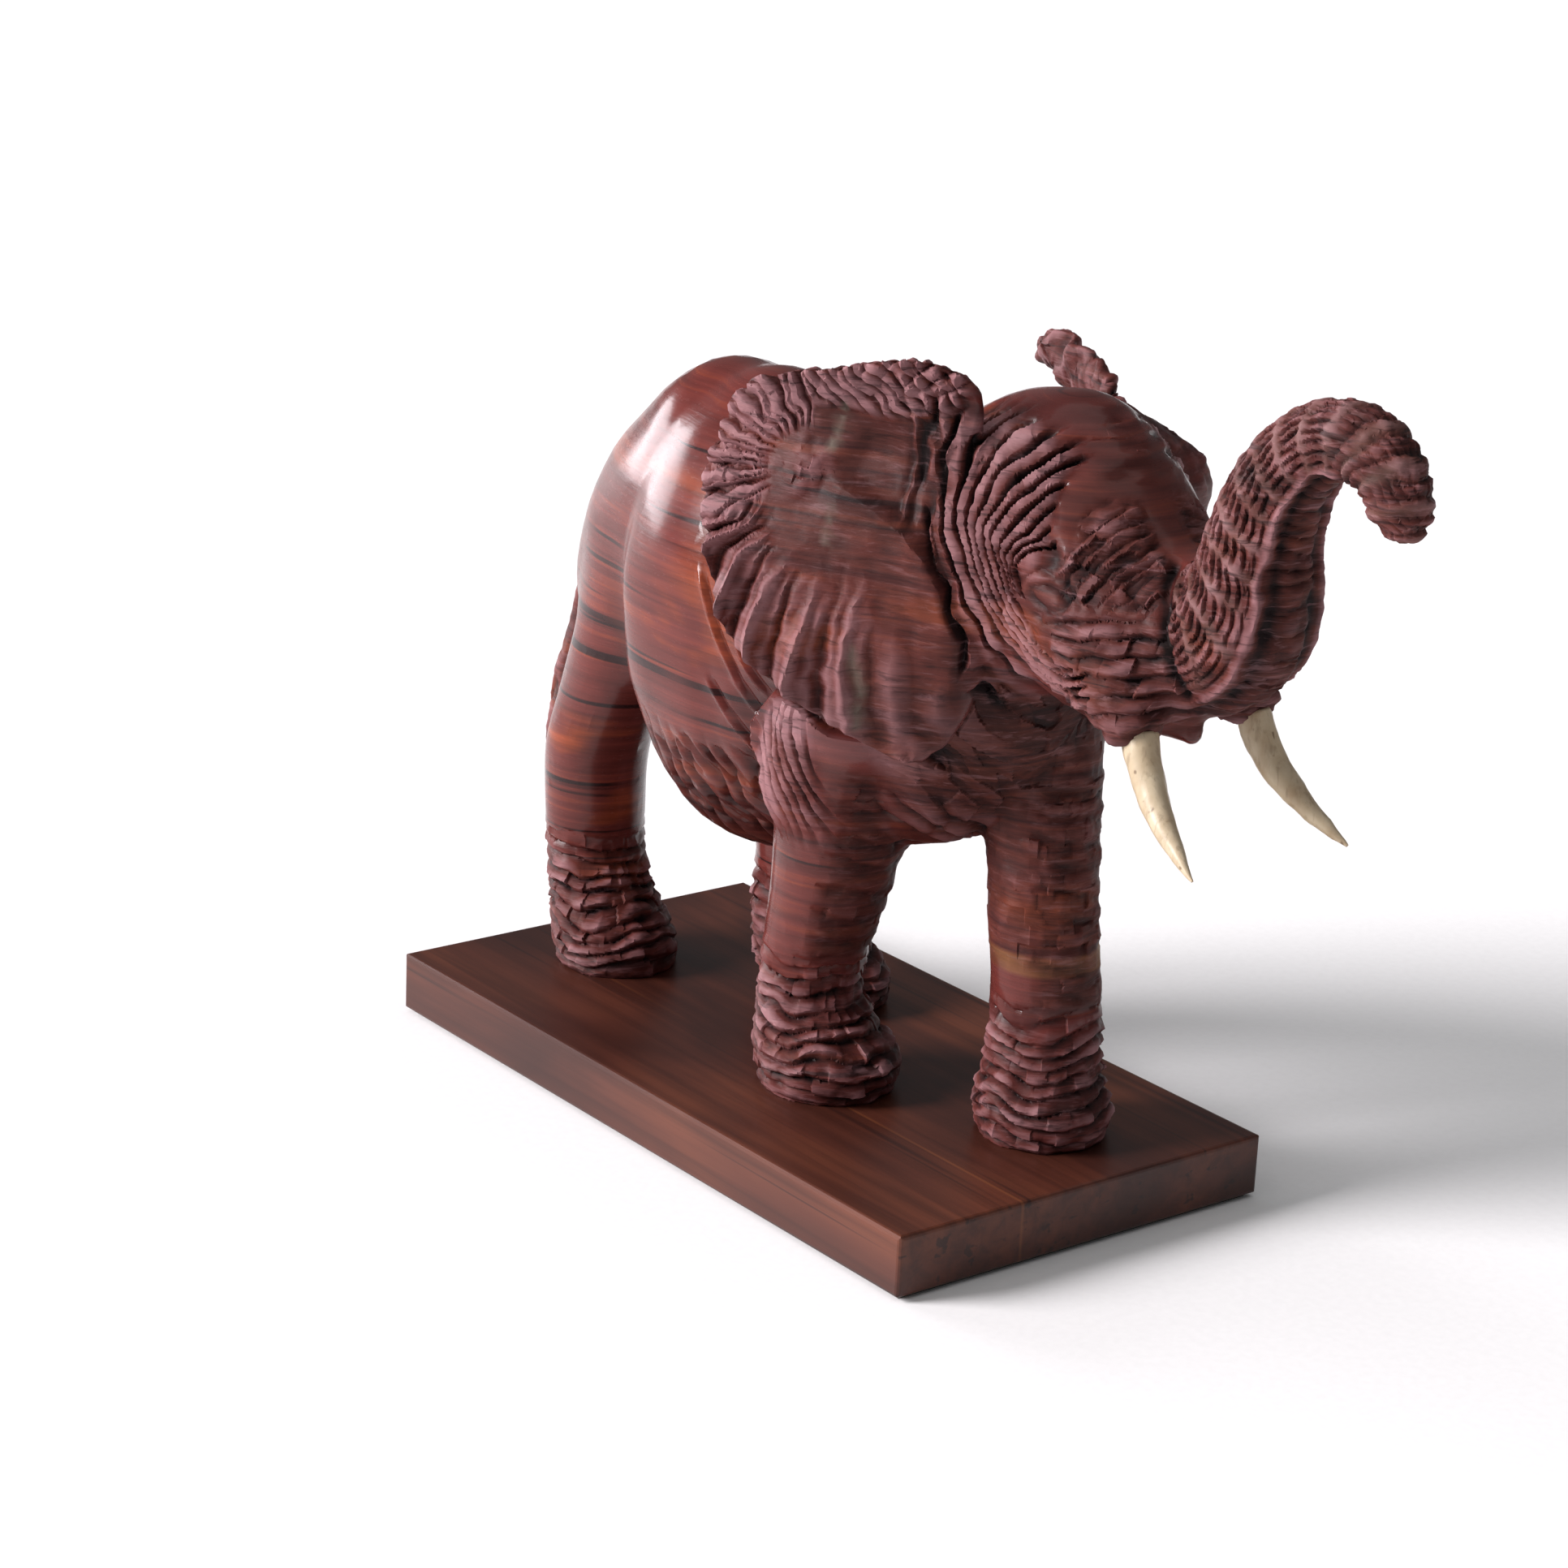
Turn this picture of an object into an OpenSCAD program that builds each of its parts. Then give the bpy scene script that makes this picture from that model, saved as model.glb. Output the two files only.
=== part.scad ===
// Carved hardwood elephant, walking with its trunk raised, on a plinth of two
// edge-glued boards. Millimetres, +Z up. The elephant faces +X and its left side
// is +Y. The origin is the centre of the plinth's underside, on the felt.

/* [Plinth] */
// Length of the plinth, along the elephant
plinth_l = 300; // [290:1:330]
// Width of the plinth, across the elephant
plinth_w = 160; // [150:1:190]
// Thickness of the two boards
plinth_t = 22; // [18:1:28]
// Width of the narrower board, on the elephant's right
right_board_w = 52; // [50:1:54]
// Rounding of the plinth's long and short edges
plinth_edge_r = 1.5; // [0.5:0.1:3]

/* [Felt] */
// Thickness of the felt under the plinth
felt_t = 1.5; // [1:0.1:3]
// Distance of the felt in from the plinth's edge
felt_inset = 3; // [1:0.5:10]

/* [Screws] */
// Diameter over the thread
screw_d = 4.2; // [3.5:0.1:5]
// Diameter of the countersunk head
screw_head_d = 8.2; // [7.5:0.1:9]
// Overall length
screw_l = 42; // [38:1:50]
// Depth of the head's top below the plinth's underside
screw_sink = 0.4; // [0.2:0.1:1]

/* [Tusks] */
// Diameter of a tusk at the cheek
tusk_d = 11.6; // [10:0.1:12.4]
// Diameter of the tenon on a tusk's root
tenon_d = 8; // [6:0.1:8.5]
// Length of the tenon
tenon_l = 13; // [10:0.5:16]
// Gap all round a tenon and past its end, filled with glue
glue_gap = 0.1; // [0.05:0.01:0.2]

/* [Ears] */
// Thickness of an ear
ear_t = 9; // [7:0.5:11]

/* [Hidden] */

carved_wood = [0.42, 0.21, 0.17];
plinth_wood = [0.24, 0.12, 0.09];
bone = [0.86, 0.80, 0.66];
steel = [0.72, 0.72, 0.70];
felt_green = [0.10, 0.16, 0.12];

plinth_z0 = felt_t;
plinth_z1 = felt_t + plinth_t;
seam_y = right_board_w - plinth_w / 2;

ring_n = 24;        // points round a torso or head ring
leg_n = 18;         // points round a leg ring
trunk_n = 16;       // points round a trunk or tail ring
ear_n = 20;         // points round an ear ring
blend_steps = 2;    // rings between two stations
hole_n = 64;        // facets of a drawn circle
corner_steps = 3;   // steps round an eased corner of the plinth

// Torso stations from rump to chest: x, centre height, half height, half width
torso = [
    [-133, 164, 15, 10], [-128, 165, 36, 20], [-117, 168, 55, 29], [-98, 171, 71, 39],
    [-70, 176, 86, 50], [-40, 178, 86, 55], [0, 179, 80, 54], [40, 184, 73, 50],
    [75, 192, 68, 44], [100, 203, 59, 37], [112, 206, 44, 28]
];
// Skull stations from neck to muzzle: x, centre height, half height, half width
skull = [
    [70, 220, 48, 36], [90, 229, 52, 38], [108, 236, 50, 37], [126, 238, 49, 36],
    [144, 231, 45, 35], [158, 224, 37, 34], [172, 219, 28, 31], [186, 216, 20, 25],
    [195, 214, 11, 16]
];
// Lower lip stations, from the throat forward: x, y, z, radius
lip = [[140, 0, 206, 19], [156, 0, 201, 15], [170, 0, 196, 10], [183, 0, 190, 3.5]];
// Tusk pouch stations on the left cheek, from the cheek down: x, y, z, radius
pouch = [[152, 20, 222, 15], [166, 22, 212, 15], [177, 24, 203, 12.5], [184, 24.5, 196, 9]];
// Trunk stations from root to tip: x, y, z, radius
trunk = [
    [162, 0, 222, 26], [180, 0, 222, 24.5], [197, 0, 226, 22.5], [204, 0, 240, 20.5],
    [206.5, 0, 258, 17.5], [212, 0, 275, 15], [221, 0, 288, 13.5], [235, 0, 296, 12],
    [249, 0, 295.5, 11.5], [259, 0, 288.5, 10.5], [263, 0, 280, 9],
    [264.5, 0, 275.5, 5.5]
];
// Tail stations from the croup down the back of the right hind leg: x, y, z, radius
tail = [
    [-104, 0, 226, 6], [-122, -2, 206, 7], [-133, -4, 180, 7], [-139, -7, 150, 7],
    [-141, -9, 122, 10], [-140, -11, 96, 11], [-136, -12, 72, 9], [-130, -13, 54, 4]
];
// Leg stations from the sole up: z above the plinth, x, y, half length, half width
leg_front_right = [
    [0, 33, -20, 24, 23], [11, 33, -20, 27, 25], [22, 26, -20, 22, 21], [35, 22, -20, 18, 18],
    [52, 25, -20, 19, 19], [72, 30, -20, 21, 21], [95, 36, -21, 24, 23], [117, 42, -24, 28, 25],
    [142, 48, -27, 29, 24], [167, 50, -24, 22, 18]
];
leg_front_left = [
    [0, 106, 17, 22, 22], [11, 106, 17, 24, 23], [26, 105, 17, 20, 20], [42, 105, 17, 19, 19.5],
    [72, 101, 17, 19, 19], [98, 97, 18, 20, 19], [122, 90, 20, 23, 21], [147, 82, 22, 26, 22],
    [167, 76, 20, 22, 18]
];
leg_rear_right = [
    [0, -105, -14, 23, 22], [11, -107, -14, 24.5, 23], [24, -115, -14, 20.5, 20],
    [38, -120, -14, 18.5, 18.5], [61, -119, -16, 19, 19], [84, -114, -19, 20, 19],
    [106, -105, -20, 22, 18.5], [131, -93, -20, 26, 19], [156, -84, -19, 28, 19],
    [176, -80, -16, 24, 17]
];
leg_rear_left = [
    [0, -32, 30, 23, 21], [11, -33, 30, 26, 23], [24, -44, 30, 22, 20],
    [38, -47, 29, 19, 18.5], [61, -46, 29, 19.5, 19], [84, -50, 28, 23, 20.5],
    [106, -60, 27, 28, 23], [131, -70, 26, 33, 25], [156, -75, 24, 32, 24],
    [176, -75, 20, 26, 20]
];
// Ear stations from the lobe up: z, root x, root y, rim x, rim y, thickness share.
// y is the distance out from the elephant's middle.
ear_right = [
    [165, 112, 40, 100, 48, 0.5], [174, 118, 36, 80, 61, 0.8], [185, 122, 33, 62, 73, 1],
    [200, 124, 32, 47, 82, 1], [216, 124, 32, 37, 82, 1], [231, 122, 32, 28, 79, 1],
    [246, 120, 32, 19, 73, 1], [260, 118, 32, 17, 66, 1], [272, 118, 32, 21, 63, 1],
    [281, 120, 32, 33, 61, 0.9], [289, 120, 34, 62, 56, 0.8], [295, 112, 40, 84, 50, 0.5]
];
ear_left = [
    [165, 112, 40, 100, 48, 0.5], [174, 118, 36, 88, 64, 0.8], [185, 122, 33, 84, 79, 1],
    [200, 124, 32, 82, 90, 1], [216, 124, 32, 82, 95, 1], [231, 122, 32, 80, 96, 1],
    [246, 118, 32, 70, 90, 1], [259, 114, 32, 44, 77, 1], [270, 108, 34, 22, 67, 1],
    [279, 90, 41, 30, 64, 0.9], [285, 64, 53, 42, 61, 0.5]
];
// Tusk stations from root to tip, on the left side: x, y, z, radius share
tusk = [
    [184.5, 24, 194.5, 1], [187.8, 24.9, 187.6, 1], [192.5, 26.1, 180.6, 0.9],
    [199.5, 27.8, 173.4, 0.76], [208.5, 30, 166.8, 0.55], [216.5, 31.8, 162, 0.32],
    [222, 33, 159, 0.08]
];
// Feet: x and y of the screw in each
foot_front_right = [33, -20];
foot_front_left = [106, 17];
foot_rear_right = [-104, -14];
foot_rear_left = [-32, 30];

// Values between stations b and c on a smooth curve through a, b, c and d
function between(a, b, c, d, t) =
    0.5 * (2 * b + (c - a) * t + (2 * a - 5 * b + 4 * c - d) * t * t
        + (3 * b - a - 3 * c + d) * t * t * t);
function clamped(list, i) = list[max(0, min(len(list) - 1, i))];
// The stations with extra ones between them, on a smooth curve
function smooth(list, steps) = concat(
    [for (i = [0 : len(list) - 2], k = [0 : steps - 1])
        between(clamped(list, i - 1), list[i], list[i + 1], clamped(list, i + 2), k / steps)],
    [list[len(list) - 1]]
);
function unit(v) = v / norm(v);
// A closed ring round a centre, with half widths ru along u and rv along v
function ring(centre, u, v, ru, rv, n) =
    [for (k = [0 : n - 1]) centre + ru * cos(360 * k / n) * u + rv * sin(360 * k / n) * v];
function body_rings(list) =
    [for (s = smooth(list, blend_steps)) ring([s[0], 0, s[1]], [0, 1, 0], [0, 0, 1], s[3], s[2], ring_n)];
function leg_rings(list) =
    [for (s = smooth(list, blend_steps))
        ring([s[1], s[2], plinth_z1 + s[0]], [1, 0, 0], [0, 1, 0], s[3], s[4], leg_n)];
// An ear's rings lie flat and run from root to rim; side is -1 right or 1 left
function ear_ring(s, side) =
    let (root = [s[1], side * s[2], s[0]], rim = [s[3], side * s[4], s[0]],
        out = unit(rim - root), across = [-out[1], out[0], 0])
    ring((root + rim) / 2, out, across, norm(rim - root) / 2, ear_t / 2 * s[5], ear_n);
// Rings square to a path; the path's stations are x, y, z and radius
function path_rings(list, n) =
    let (p = smooth(list, blend_steps), last = len(p) - 1)
    [for (i = [0 : last])
        let (a = p[max(0, i - 1)], b = p[min(last, i + 1)],
            along = unit([b[0] - a[0], b[1] - a[1], b[2] - a[2]]),
            u = unit(cross(along, [along[2], 0, -along[0]])), v = cross(along, u))
        ring([p[i][0], p[i][1], p[i][2]], u, v, p[i][3], p[i][3], n)];

// A closed solid through rings of equal count, capped flat at both ends
module loft(rings) {
    n = len(rings[0]);
    last = len(rings) - 1;
    sides = [for (i = [0 : last - 1], k = [0 : n - 1])
        let (a = i * n + k, b = i * n + (k + 1) % n, c = b + n, d = a + n)
        each [[a, c, b], [a, d, c]]];
    start_cap = [[for (k = [0 : n - 1]) k]];
    end_cap = [[for (k = [n - 1 : -1 : 0]) last * n + k]];
    polyhedron([for (r = rings) each r], concat(sides, start_cap, end_cap));
}

// Lays a shape along +Z with its end at a point and its axis along a direction
module along(point, direction) {
    tilt = acos(direction[2] / norm(direction));
    turn = atan2(direction[1], direction[0]);
    translate(point)
        rotate([0, tilt, turn])
            children();
}

// The elephant's body, carved from one block, before it is drilled
module carved_form() {
    loft(body_rings(torso));
    loft(body_rings(skull));
    loft(path_rings(lip, trunk_n));
    for (side = [-1, 1])
        loft(path_rings([for (s = pouch) [s[0], side * s[1], s[2], s[3]]], trunk_n));
    loft(path_rings(trunk, trunk_n));
    loft(path_rings(tail, trunk_n));
    for (leg = [leg_front_right, leg_front_left, leg_rear_right, leg_rear_left])
        loft(leg_rings(leg));
    loft([for (s = smooth(ear_right, blend_steps)) ear_ring(s, -1)]);
    loft([for (s = smooth(ear_left, blend_steps)) ear_ring(s, 1)]);
}

// A tusk's root point and the direction in which its tenon goes into the cheek
function tusk_point(i, side) = [tusk[i][0], side * tusk[i][1], tusk[i][2]];
function tenon_direction(side) = tusk_point(0, side) - tusk_point(1, side);

module tusk_socket(side) {
    along(tusk_point(0, side), tenon_direction(side))
        cylinder(d = tenon_d + 2 * glue_gap, h = tenon_l + glue_gap, $fn = hole_n);
    // Spot face that the tusk's shoulder seats on
    along(tusk_point(0, side), -tenon_direction(side))
        cylinder(d = tusk_d + 1, h = 14, $fn = hole_n);
}

module elephant_carving() {
    color(carved_wood)
        difference() {
            resize([0, 0, 0])
                union()
                    carved_form();
            for (side = [-1, 1])
                tusk_socket(side);
            for (foot = [foot_front_right, foot_front_left, foot_rear_right, foot_rear_left])
                translate([foot[0], foot[1], plinth_z1 - 1])
                    cylinder(d = screw_d + 2 * glue_gap, h = screw_l - plinth_t + 2, $fn = hole_n);
        }
}

module tusk_piece(side) {
    stations = [for (s = tusk) [s[0], side * s[1], s[2], s[3] * tusk_d / 2]];
    color(bone) {
        loft(path_rings(stations, 12));
        along(tusk_point(0, side) - 0.5 * unit(tenon_direction(side)), tenon_direction(side))
            cylinder(d = tenon_d, h = tenon_l + 0.5, $fn = hole_n);
    }
}
module tusk_right() { tusk_piece(-1); }
module tusk_left() { tusk_piece(1); }

// Clearance hole and countersink for a screw, drilled up from the underside
module screw_hole(foot) {
    head_h = (screw_head_d - screw_d) / 2;
    translate([foot[0], foot[1], plinth_z0]) {
        translate([0, 0, -1])
            cylinder(d = screw_d + 0.4, h = plinth_t + 2, $fn = hole_n);
        translate([0, 0, -1])
            cylinder(d = screw_head_d + 0.4, h = 1 + screw_sink, $fn = hole_n);
        translate([0, 0, screw_sink - 0.001])
            cylinder(d1 = screw_head_d + 0.4, d2 = screw_d + 0.4, h = head_h, $fn = hole_n);
    }
}

// A rectangle round the origin, its corners rounded
function eased_rectangle(w, h, r) =
    [for (corner = [0 : 3], step = [0 : corner_steps])
        let (turn = 90 * corner, a = turn + 90 * step / corner_steps,
            sx = corner == 0 || corner == 3 ? 1 : -1, sy = corner < 2 ? 1 : -1)
        [sx * (w / 2 - r) + r * cos(a), sy * (h / 2 - r) + r * sin(a)]];

// The whole plinth's outline, with its edges rounded
module eased_plinth() {
    translate([0, 0, plinth_z0 + plinth_t / 2])
        intersection() {
            linear_extrude(plinth_t, center = true)
                polygon(eased_rectangle(plinth_l, plinth_w, plinth_edge_r));
            rotate([90, 0, 0])
                linear_extrude(plinth_w, center = true)
                    polygon(eased_rectangle(plinth_l, plinth_t, plinth_edge_r));
            rotate([90, 0, 90])
                linear_extrude(plinth_l, center = true)
                    polygon(eased_rectangle(plinth_w, plinth_t, plinth_edge_r));
        }
}

// One board of the plinth, from y0 to y1, drilled for the screws
module board(y0, y1) {
    difference() {
        intersection() {
            eased_plinth();
            translate([-plinth_l, y0, 0])
                cube([2 * plinth_l, y1 - y0, 2 * plinth_z1]);
        }
        for (foot = [foot_front_right, foot_front_left, foot_rear_right, foot_rear_left])
            if (foot[1] > y0 && foot[1] < y1)
                screw_hole(foot);
    }
}

module base_board_right() { color(plinth_wood) board(-plinth_w, seam_y); }
module base_board_left() { color(plinth_wood) board(seam_y, plinth_w); }

// A countersunk wood screw with a cross recess, its head down
module foot_screw(foot) {
    head_h = (screw_head_d - screw_d) / 2;
    point_h = 6;
    color(steel)
        translate([foot[0], foot[1], plinth_z0 + screw_sink])
            difference() {
                rotate_extrude($fn = hole_n)
                    polygon([
                        [0, 0], [screw_head_d / 2, 0], [screw_d / 2, head_h],
                        [screw_d / 2, screw_l - point_h], [0.3, screw_l], [0, screw_l]
                    ]);
                for (turn = [0, 90])
                    rotate([0, 0, turn])
                        translate([-2.2, -0.5, -1])
                            cube([4.4, 1, 2.6]);
            }
}
module foot_screw_front_right() { foot_screw(foot_front_right); }
module foot_screw_front_left() { foot_screw(foot_front_left); }
module foot_screw_rear_right() { foot_screw(foot_rear_right); }
module foot_screw_rear_left() { foot_screw(foot_rear_left); }

module felt_sheet() {
    size = [plinth_l - 2 * felt_inset, plinth_w - 2 * felt_inset];
    color(felt_green)
        translate([-size[0] / 2, -size[1] / 2, 0])
            cube([size[0], size[1], felt_t]);
}

elephant_carving();
tusk_right();
tusk_left();
base_board_right();
base_board_left();
foot_screw_front_right();
foot_screw_front_left();
foot_screw_rear_right();
foot_screw_rear_left();
felt_sheet();
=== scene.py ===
"""Looks of a carved wooden elephant on a two-board plinth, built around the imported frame."""

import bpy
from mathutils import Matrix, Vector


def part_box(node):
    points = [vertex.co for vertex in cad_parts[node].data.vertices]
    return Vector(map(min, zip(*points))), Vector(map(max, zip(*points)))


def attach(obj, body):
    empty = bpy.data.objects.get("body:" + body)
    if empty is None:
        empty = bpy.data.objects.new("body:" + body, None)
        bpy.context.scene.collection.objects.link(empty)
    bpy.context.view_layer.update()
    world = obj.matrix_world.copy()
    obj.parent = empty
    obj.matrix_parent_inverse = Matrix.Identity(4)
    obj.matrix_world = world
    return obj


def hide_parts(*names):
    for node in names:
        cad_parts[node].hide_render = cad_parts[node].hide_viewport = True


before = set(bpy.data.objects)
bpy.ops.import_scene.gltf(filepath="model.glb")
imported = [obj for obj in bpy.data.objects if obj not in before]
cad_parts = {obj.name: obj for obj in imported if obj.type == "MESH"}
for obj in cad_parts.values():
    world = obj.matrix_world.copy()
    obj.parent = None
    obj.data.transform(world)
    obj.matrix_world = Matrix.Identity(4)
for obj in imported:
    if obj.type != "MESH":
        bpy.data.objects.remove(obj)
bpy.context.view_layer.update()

import logging
import math
from dataclasses import dataclass
from enum import Enum

import bpy
import numpy as np
import openvdb as vdb
from mathutils import Matrix, Vector

log = logging.getLogger("elephant")
MM = 0.001
RIGHT = -1
LEFT = 1
PLINTH_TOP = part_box("base_board_left")[1][2] / MM
TRIANGLES_KEPT = 196000
SHARP_EDGE = 34.0
SKIN_CELLS = 3.0
DEALT = 997


# ---------------------------------------------------------------- small sums


def ramp(value: np.ndarray, low: float, high: float) -> np.ndarray:
    """Goes smoothly from 0 at low to 1 at high; high may be the smaller.

    Args:
        value: The numbers to grade.
        low: Where the answer is 0.
        high: Where the answer is 1.

    Returns:
        The graded numbers, 0 to 1.
    """
    t = np.clip((value - low) / (high - low), 0.0, 1.0)
    return t * t * (3.0 - 2.0 * t)


def bell(value: np.ndarray, width: float) -> np.ndarray:
    """A soft bump, 1 where value is 0."""
    return np.exp(-((value / width) ** 2))


class Profile(Enum):
    """Cross sections of cuts that repeat, as shares of the pitch and of the height."""

    PLATE = ((0.0, 0.78), (0.18, 0.05), (0.3, 0.0), (0.46, 1.0), (1.0, 0.78))
    RIDGE = ((0.0, 1.0), (0.1, 0.88), (0.3, 0.3), (0.5, 0.0), (0.7, 0.3), (0.9, 0.88), (1.0, 1.0))
    PETAL = ((0.0, 0.0), (0.1, 0.45), (0.28, 0.85), (0.5, 1.0), (0.72, 0.85), (0.9, 0.45), (1.0, 0.0))
    FOLD = ((0.0, 0.0), (0.24, 1.0), (0.62, 0.8), (1.0, 0.0))

    def __call__(self, phase: np.ndarray) -> np.ndarray:
        """The height, 0 to 1, at each phase; the profile starts again at whole numbers."""
        share, height = zip(*self.value)
        return np.interp(phase % 1.0, share, height)


def between(value: np.ndarray, lines: list[np.ndarray]) -> np.ndarray:
    """Counts a value along ordered lines, evenly between them and beyond them.

    Args:
        value: The numbers to place.
        lines: The lines' values at the same places, rising from line to line.

    Returns:
        0 on the first line, 1 on the second, and so on.
    """
    phase = (value - lines[0]) / (lines[1] - lines[0])
    for i in range(1, len(lines) - 1):
        phase = np.where(value > lines[i], i + (value - lines[i]) / (lines[i + 1] - lines[i]), phase)
    return phase


def facets(across: np.ndarray, along: np.ndarray, seed: int) -> np.ndarray:
    """Tilted flats laid like bricks, one for each whole step of the two measures, about -1 to 1."""
    row = np.floor(along)
    shifted = across + 0.37 * row
    deal = (np.floor(shifted) * 73 + row * 151).astype(int) % DEALT
    height, tilt, slope = np.random.default_rng(seed).uniform(-1.0, 1.0, (3, DEALT))[:, deal]
    return 0.5 * height + tilt * (shifted % 1.0 - 0.5) + slope * (along % 1.0 - 0.5)


def unevenness(points: np.ndarray, length: float, seed: int) -> np.ndarray:
    """Smooth seeded noise of about one wave per length, mostly within -1 to 1.

    Args:
        points: Places in millimetres, one row each.
        length: The typical wave in millimetres.
        seed: The seed for the wave directions.

    Returns:
        One number for each point.
    """
    waves = np.random.default_rng(seed)
    total = np.zeros(len(points))
    for _ in range(9):
        direction = waves.normal(size=points.shape[1])
        direction *= 2.0 * math.pi / (length * waves.uniform(0.75, 1.5) * np.linalg.norm(direction))
        total += np.sin(points @ direction + waves.uniform(0.0, 6.28))
    return total / 3.0


def to_line(points: np.ndarray, line: list[tuple[float, float]]) -> tuple[np.ndarray, np.ndarray]:
    """Measures points against an open line of straight runs.

    Args:
        points: Places in a plane, two columns.
        line: The line's corners.

    Returns:
        The distance from the line, negative to the right of it, and how far along it as a share.
    """
    corners = np.array(line, float)
    best = np.full(len(points), 1e9)
    side = np.zeros(len(points))
    along = np.zeros(len(points))
    run = np.linalg.norm(np.diff(corners, axis=0), axis=1)
    start = np.concatenate([[0.0], np.cumsum(run)])
    for i, length in enumerate(run):
        a = corners[i]
        d = (corners[i + 1] - a) / length
        rel = points - a
        t = np.clip(rel @ d, 0.0, length)
        off = rel - t[:, None] * d
        dist = np.hypot(off[:, 0], off[:, 1])
        nearer = dist < best
        best = np.where(nearer, dist, best)
        side = np.where(nearer, np.sign(d[0] * rel[:, 1] - d[1] * rel[:, 0]), side)
        along = np.where(nearer, (start[i] + t) / start[-1], along)
    return best * np.where(side == 0, 1.0, side), along


def catmull(stations: list[tuple[float, ...]], steps: int) -> np.ndarray:
    """Puts extra stations between the given ones, on a smooth curve through them.

    Args:
        stations: Rows of numbers.
        steps: How many stations each gap becomes.

    Returns:
        The longer list of rows.
    """
    rows = np.array(stations, float)
    padded = np.vstack([rows[:1], rows, rows[-1:]])
    out = []
    for i in range(len(rows) - 1):
        a, b, c, d = padded[i : i + 4]
        for t in np.arange(steps) / steps:
            out.append(0.5 * (2 * b + (c - a) * t + (2 * a - 5 * b + 4 * c - d) * t * t
                              + (3 * b - a - 3 * c + d) * t**3))
    return np.array(out + [rows[-1]])


def ring(centre: np.ndarray, u: np.ndarray, v: np.ndarray, ru: float, rv: float, n: int,
         square: float = 1.0) -> np.ndarray:
    """A closed oval round a centre.

    Args:
        centre: The middle of the oval.
        u: The first unit direction.
        v: The second unit direction.
        ru: Half width along u.
        rv: Half width along v.
        n: How many points.
        square: 1 for an ellipse, less for a squarer oval.

    Returns:
        The points, one row each.
    """
    turn = np.linspace(0.0, 2.0 * math.pi, n, endpoint=False)
    c = np.cos(turn)
    s = np.sin(turn)
    c = np.sign(c) * np.abs(c) ** square
    s = np.sign(s) * np.abs(s) ** square
    return centre + ru * c[:, None] * u + rv * s[:, None] * v


def rounded(rings: list[np.ndarray], start: float, end: float) -> list[np.ndarray]:
    """Adds shrinking rings at the two ends, so that they close as domes.

    Args:
        rings: The rings from one end to the other.
        start: The first dome's height; 0 leaves that end flat.
        end: The last dome's height; 0 leaves that end flat.

    Returns:
        The longer list of rings.
    """
    def dome(last: np.ndarray, before: np.ndarray, height: float) -> list[np.ndarray]:
        """Shrinking copies of the last ring, out to the dome's top."""
        middle = last.mean(axis=0)
        way = middle - before.mean(axis=0)
        way /= np.linalg.norm(way)
        return [middle + (last - middle) * math.cos(a) + way * height * math.sin(a)
                for a in np.radians([25.0, 50.0, 72.0, 86.0])]

    out = list(rings)
    if start > 0:
        out = dome(rings[0], rings[1], start)[::-1] + out
    if end > 0:
        out = out + dome(rings[-1], rings[-2], end)
    return out


def path_rings(stations: list[tuple[float, ...]], n: int, steps: int) -> list[np.ndarray]:
    """Round rings square to a path whose stations are x, y, z and radius."""
    rows = catmull(stations, steps)
    out = []
    for i, row in enumerate(rows):
        way = rows[min(i + 1, len(rows) - 1), :3] - rows[max(i - 1, 0), :3]
        way /= np.linalg.norm(way)
        u = np.cross(way, (way[2], 0.0, -way[0]))
        u /= np.linalg.norm(u)
        out.append(ring(row[:3], u, np.cross(way, u), row[3], row[3], n))
    return out


def tube(stations: list[tuple[float, ...]], n: int, steps: int, start: float,
         end: float) -> tuple[np.ndarray, np.ndarray]:
    """A closed round shell along a path, with a dome of the given height at each end."""
    return loft(rounded(path_rings(stations, n, steps), start, end))


def loft(rings: list[np.ndarray]) -> tuple[np.ndarray, np.ndarray]:
    """Joins rings into a closed shell.

    Args:
        rings: Rings with equal numbers of points.

    Returns:
        The points, and the triangles as rows of point numbers.
    """
    n = len(rings[0])
    count = len(rings)
    points = np.vstack(rings + [rings[0].mean(axis=0)[None], rings[-1].mean(axis=0)[None]])
    k = np.arange(n)
    following = (k + 1) % n
    faces = []
    for i in range(count - 1):
        a, b = i * n + k, i * n + following
        faces += [np.stack([a, b, b + n], 1), np.stack([a, b + n, a + n], 1)]
    last = (count - 1) * n
    faces.append(np.stack([following, k, np.full(n, count * n)], 1))
    faces.append(np.stack([last + k, last + following, np.full(n, count * n + 1)], 1))
    return points, np.vstack(faces)


# ---------------------------------------------------------------- clay for the carving


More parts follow.
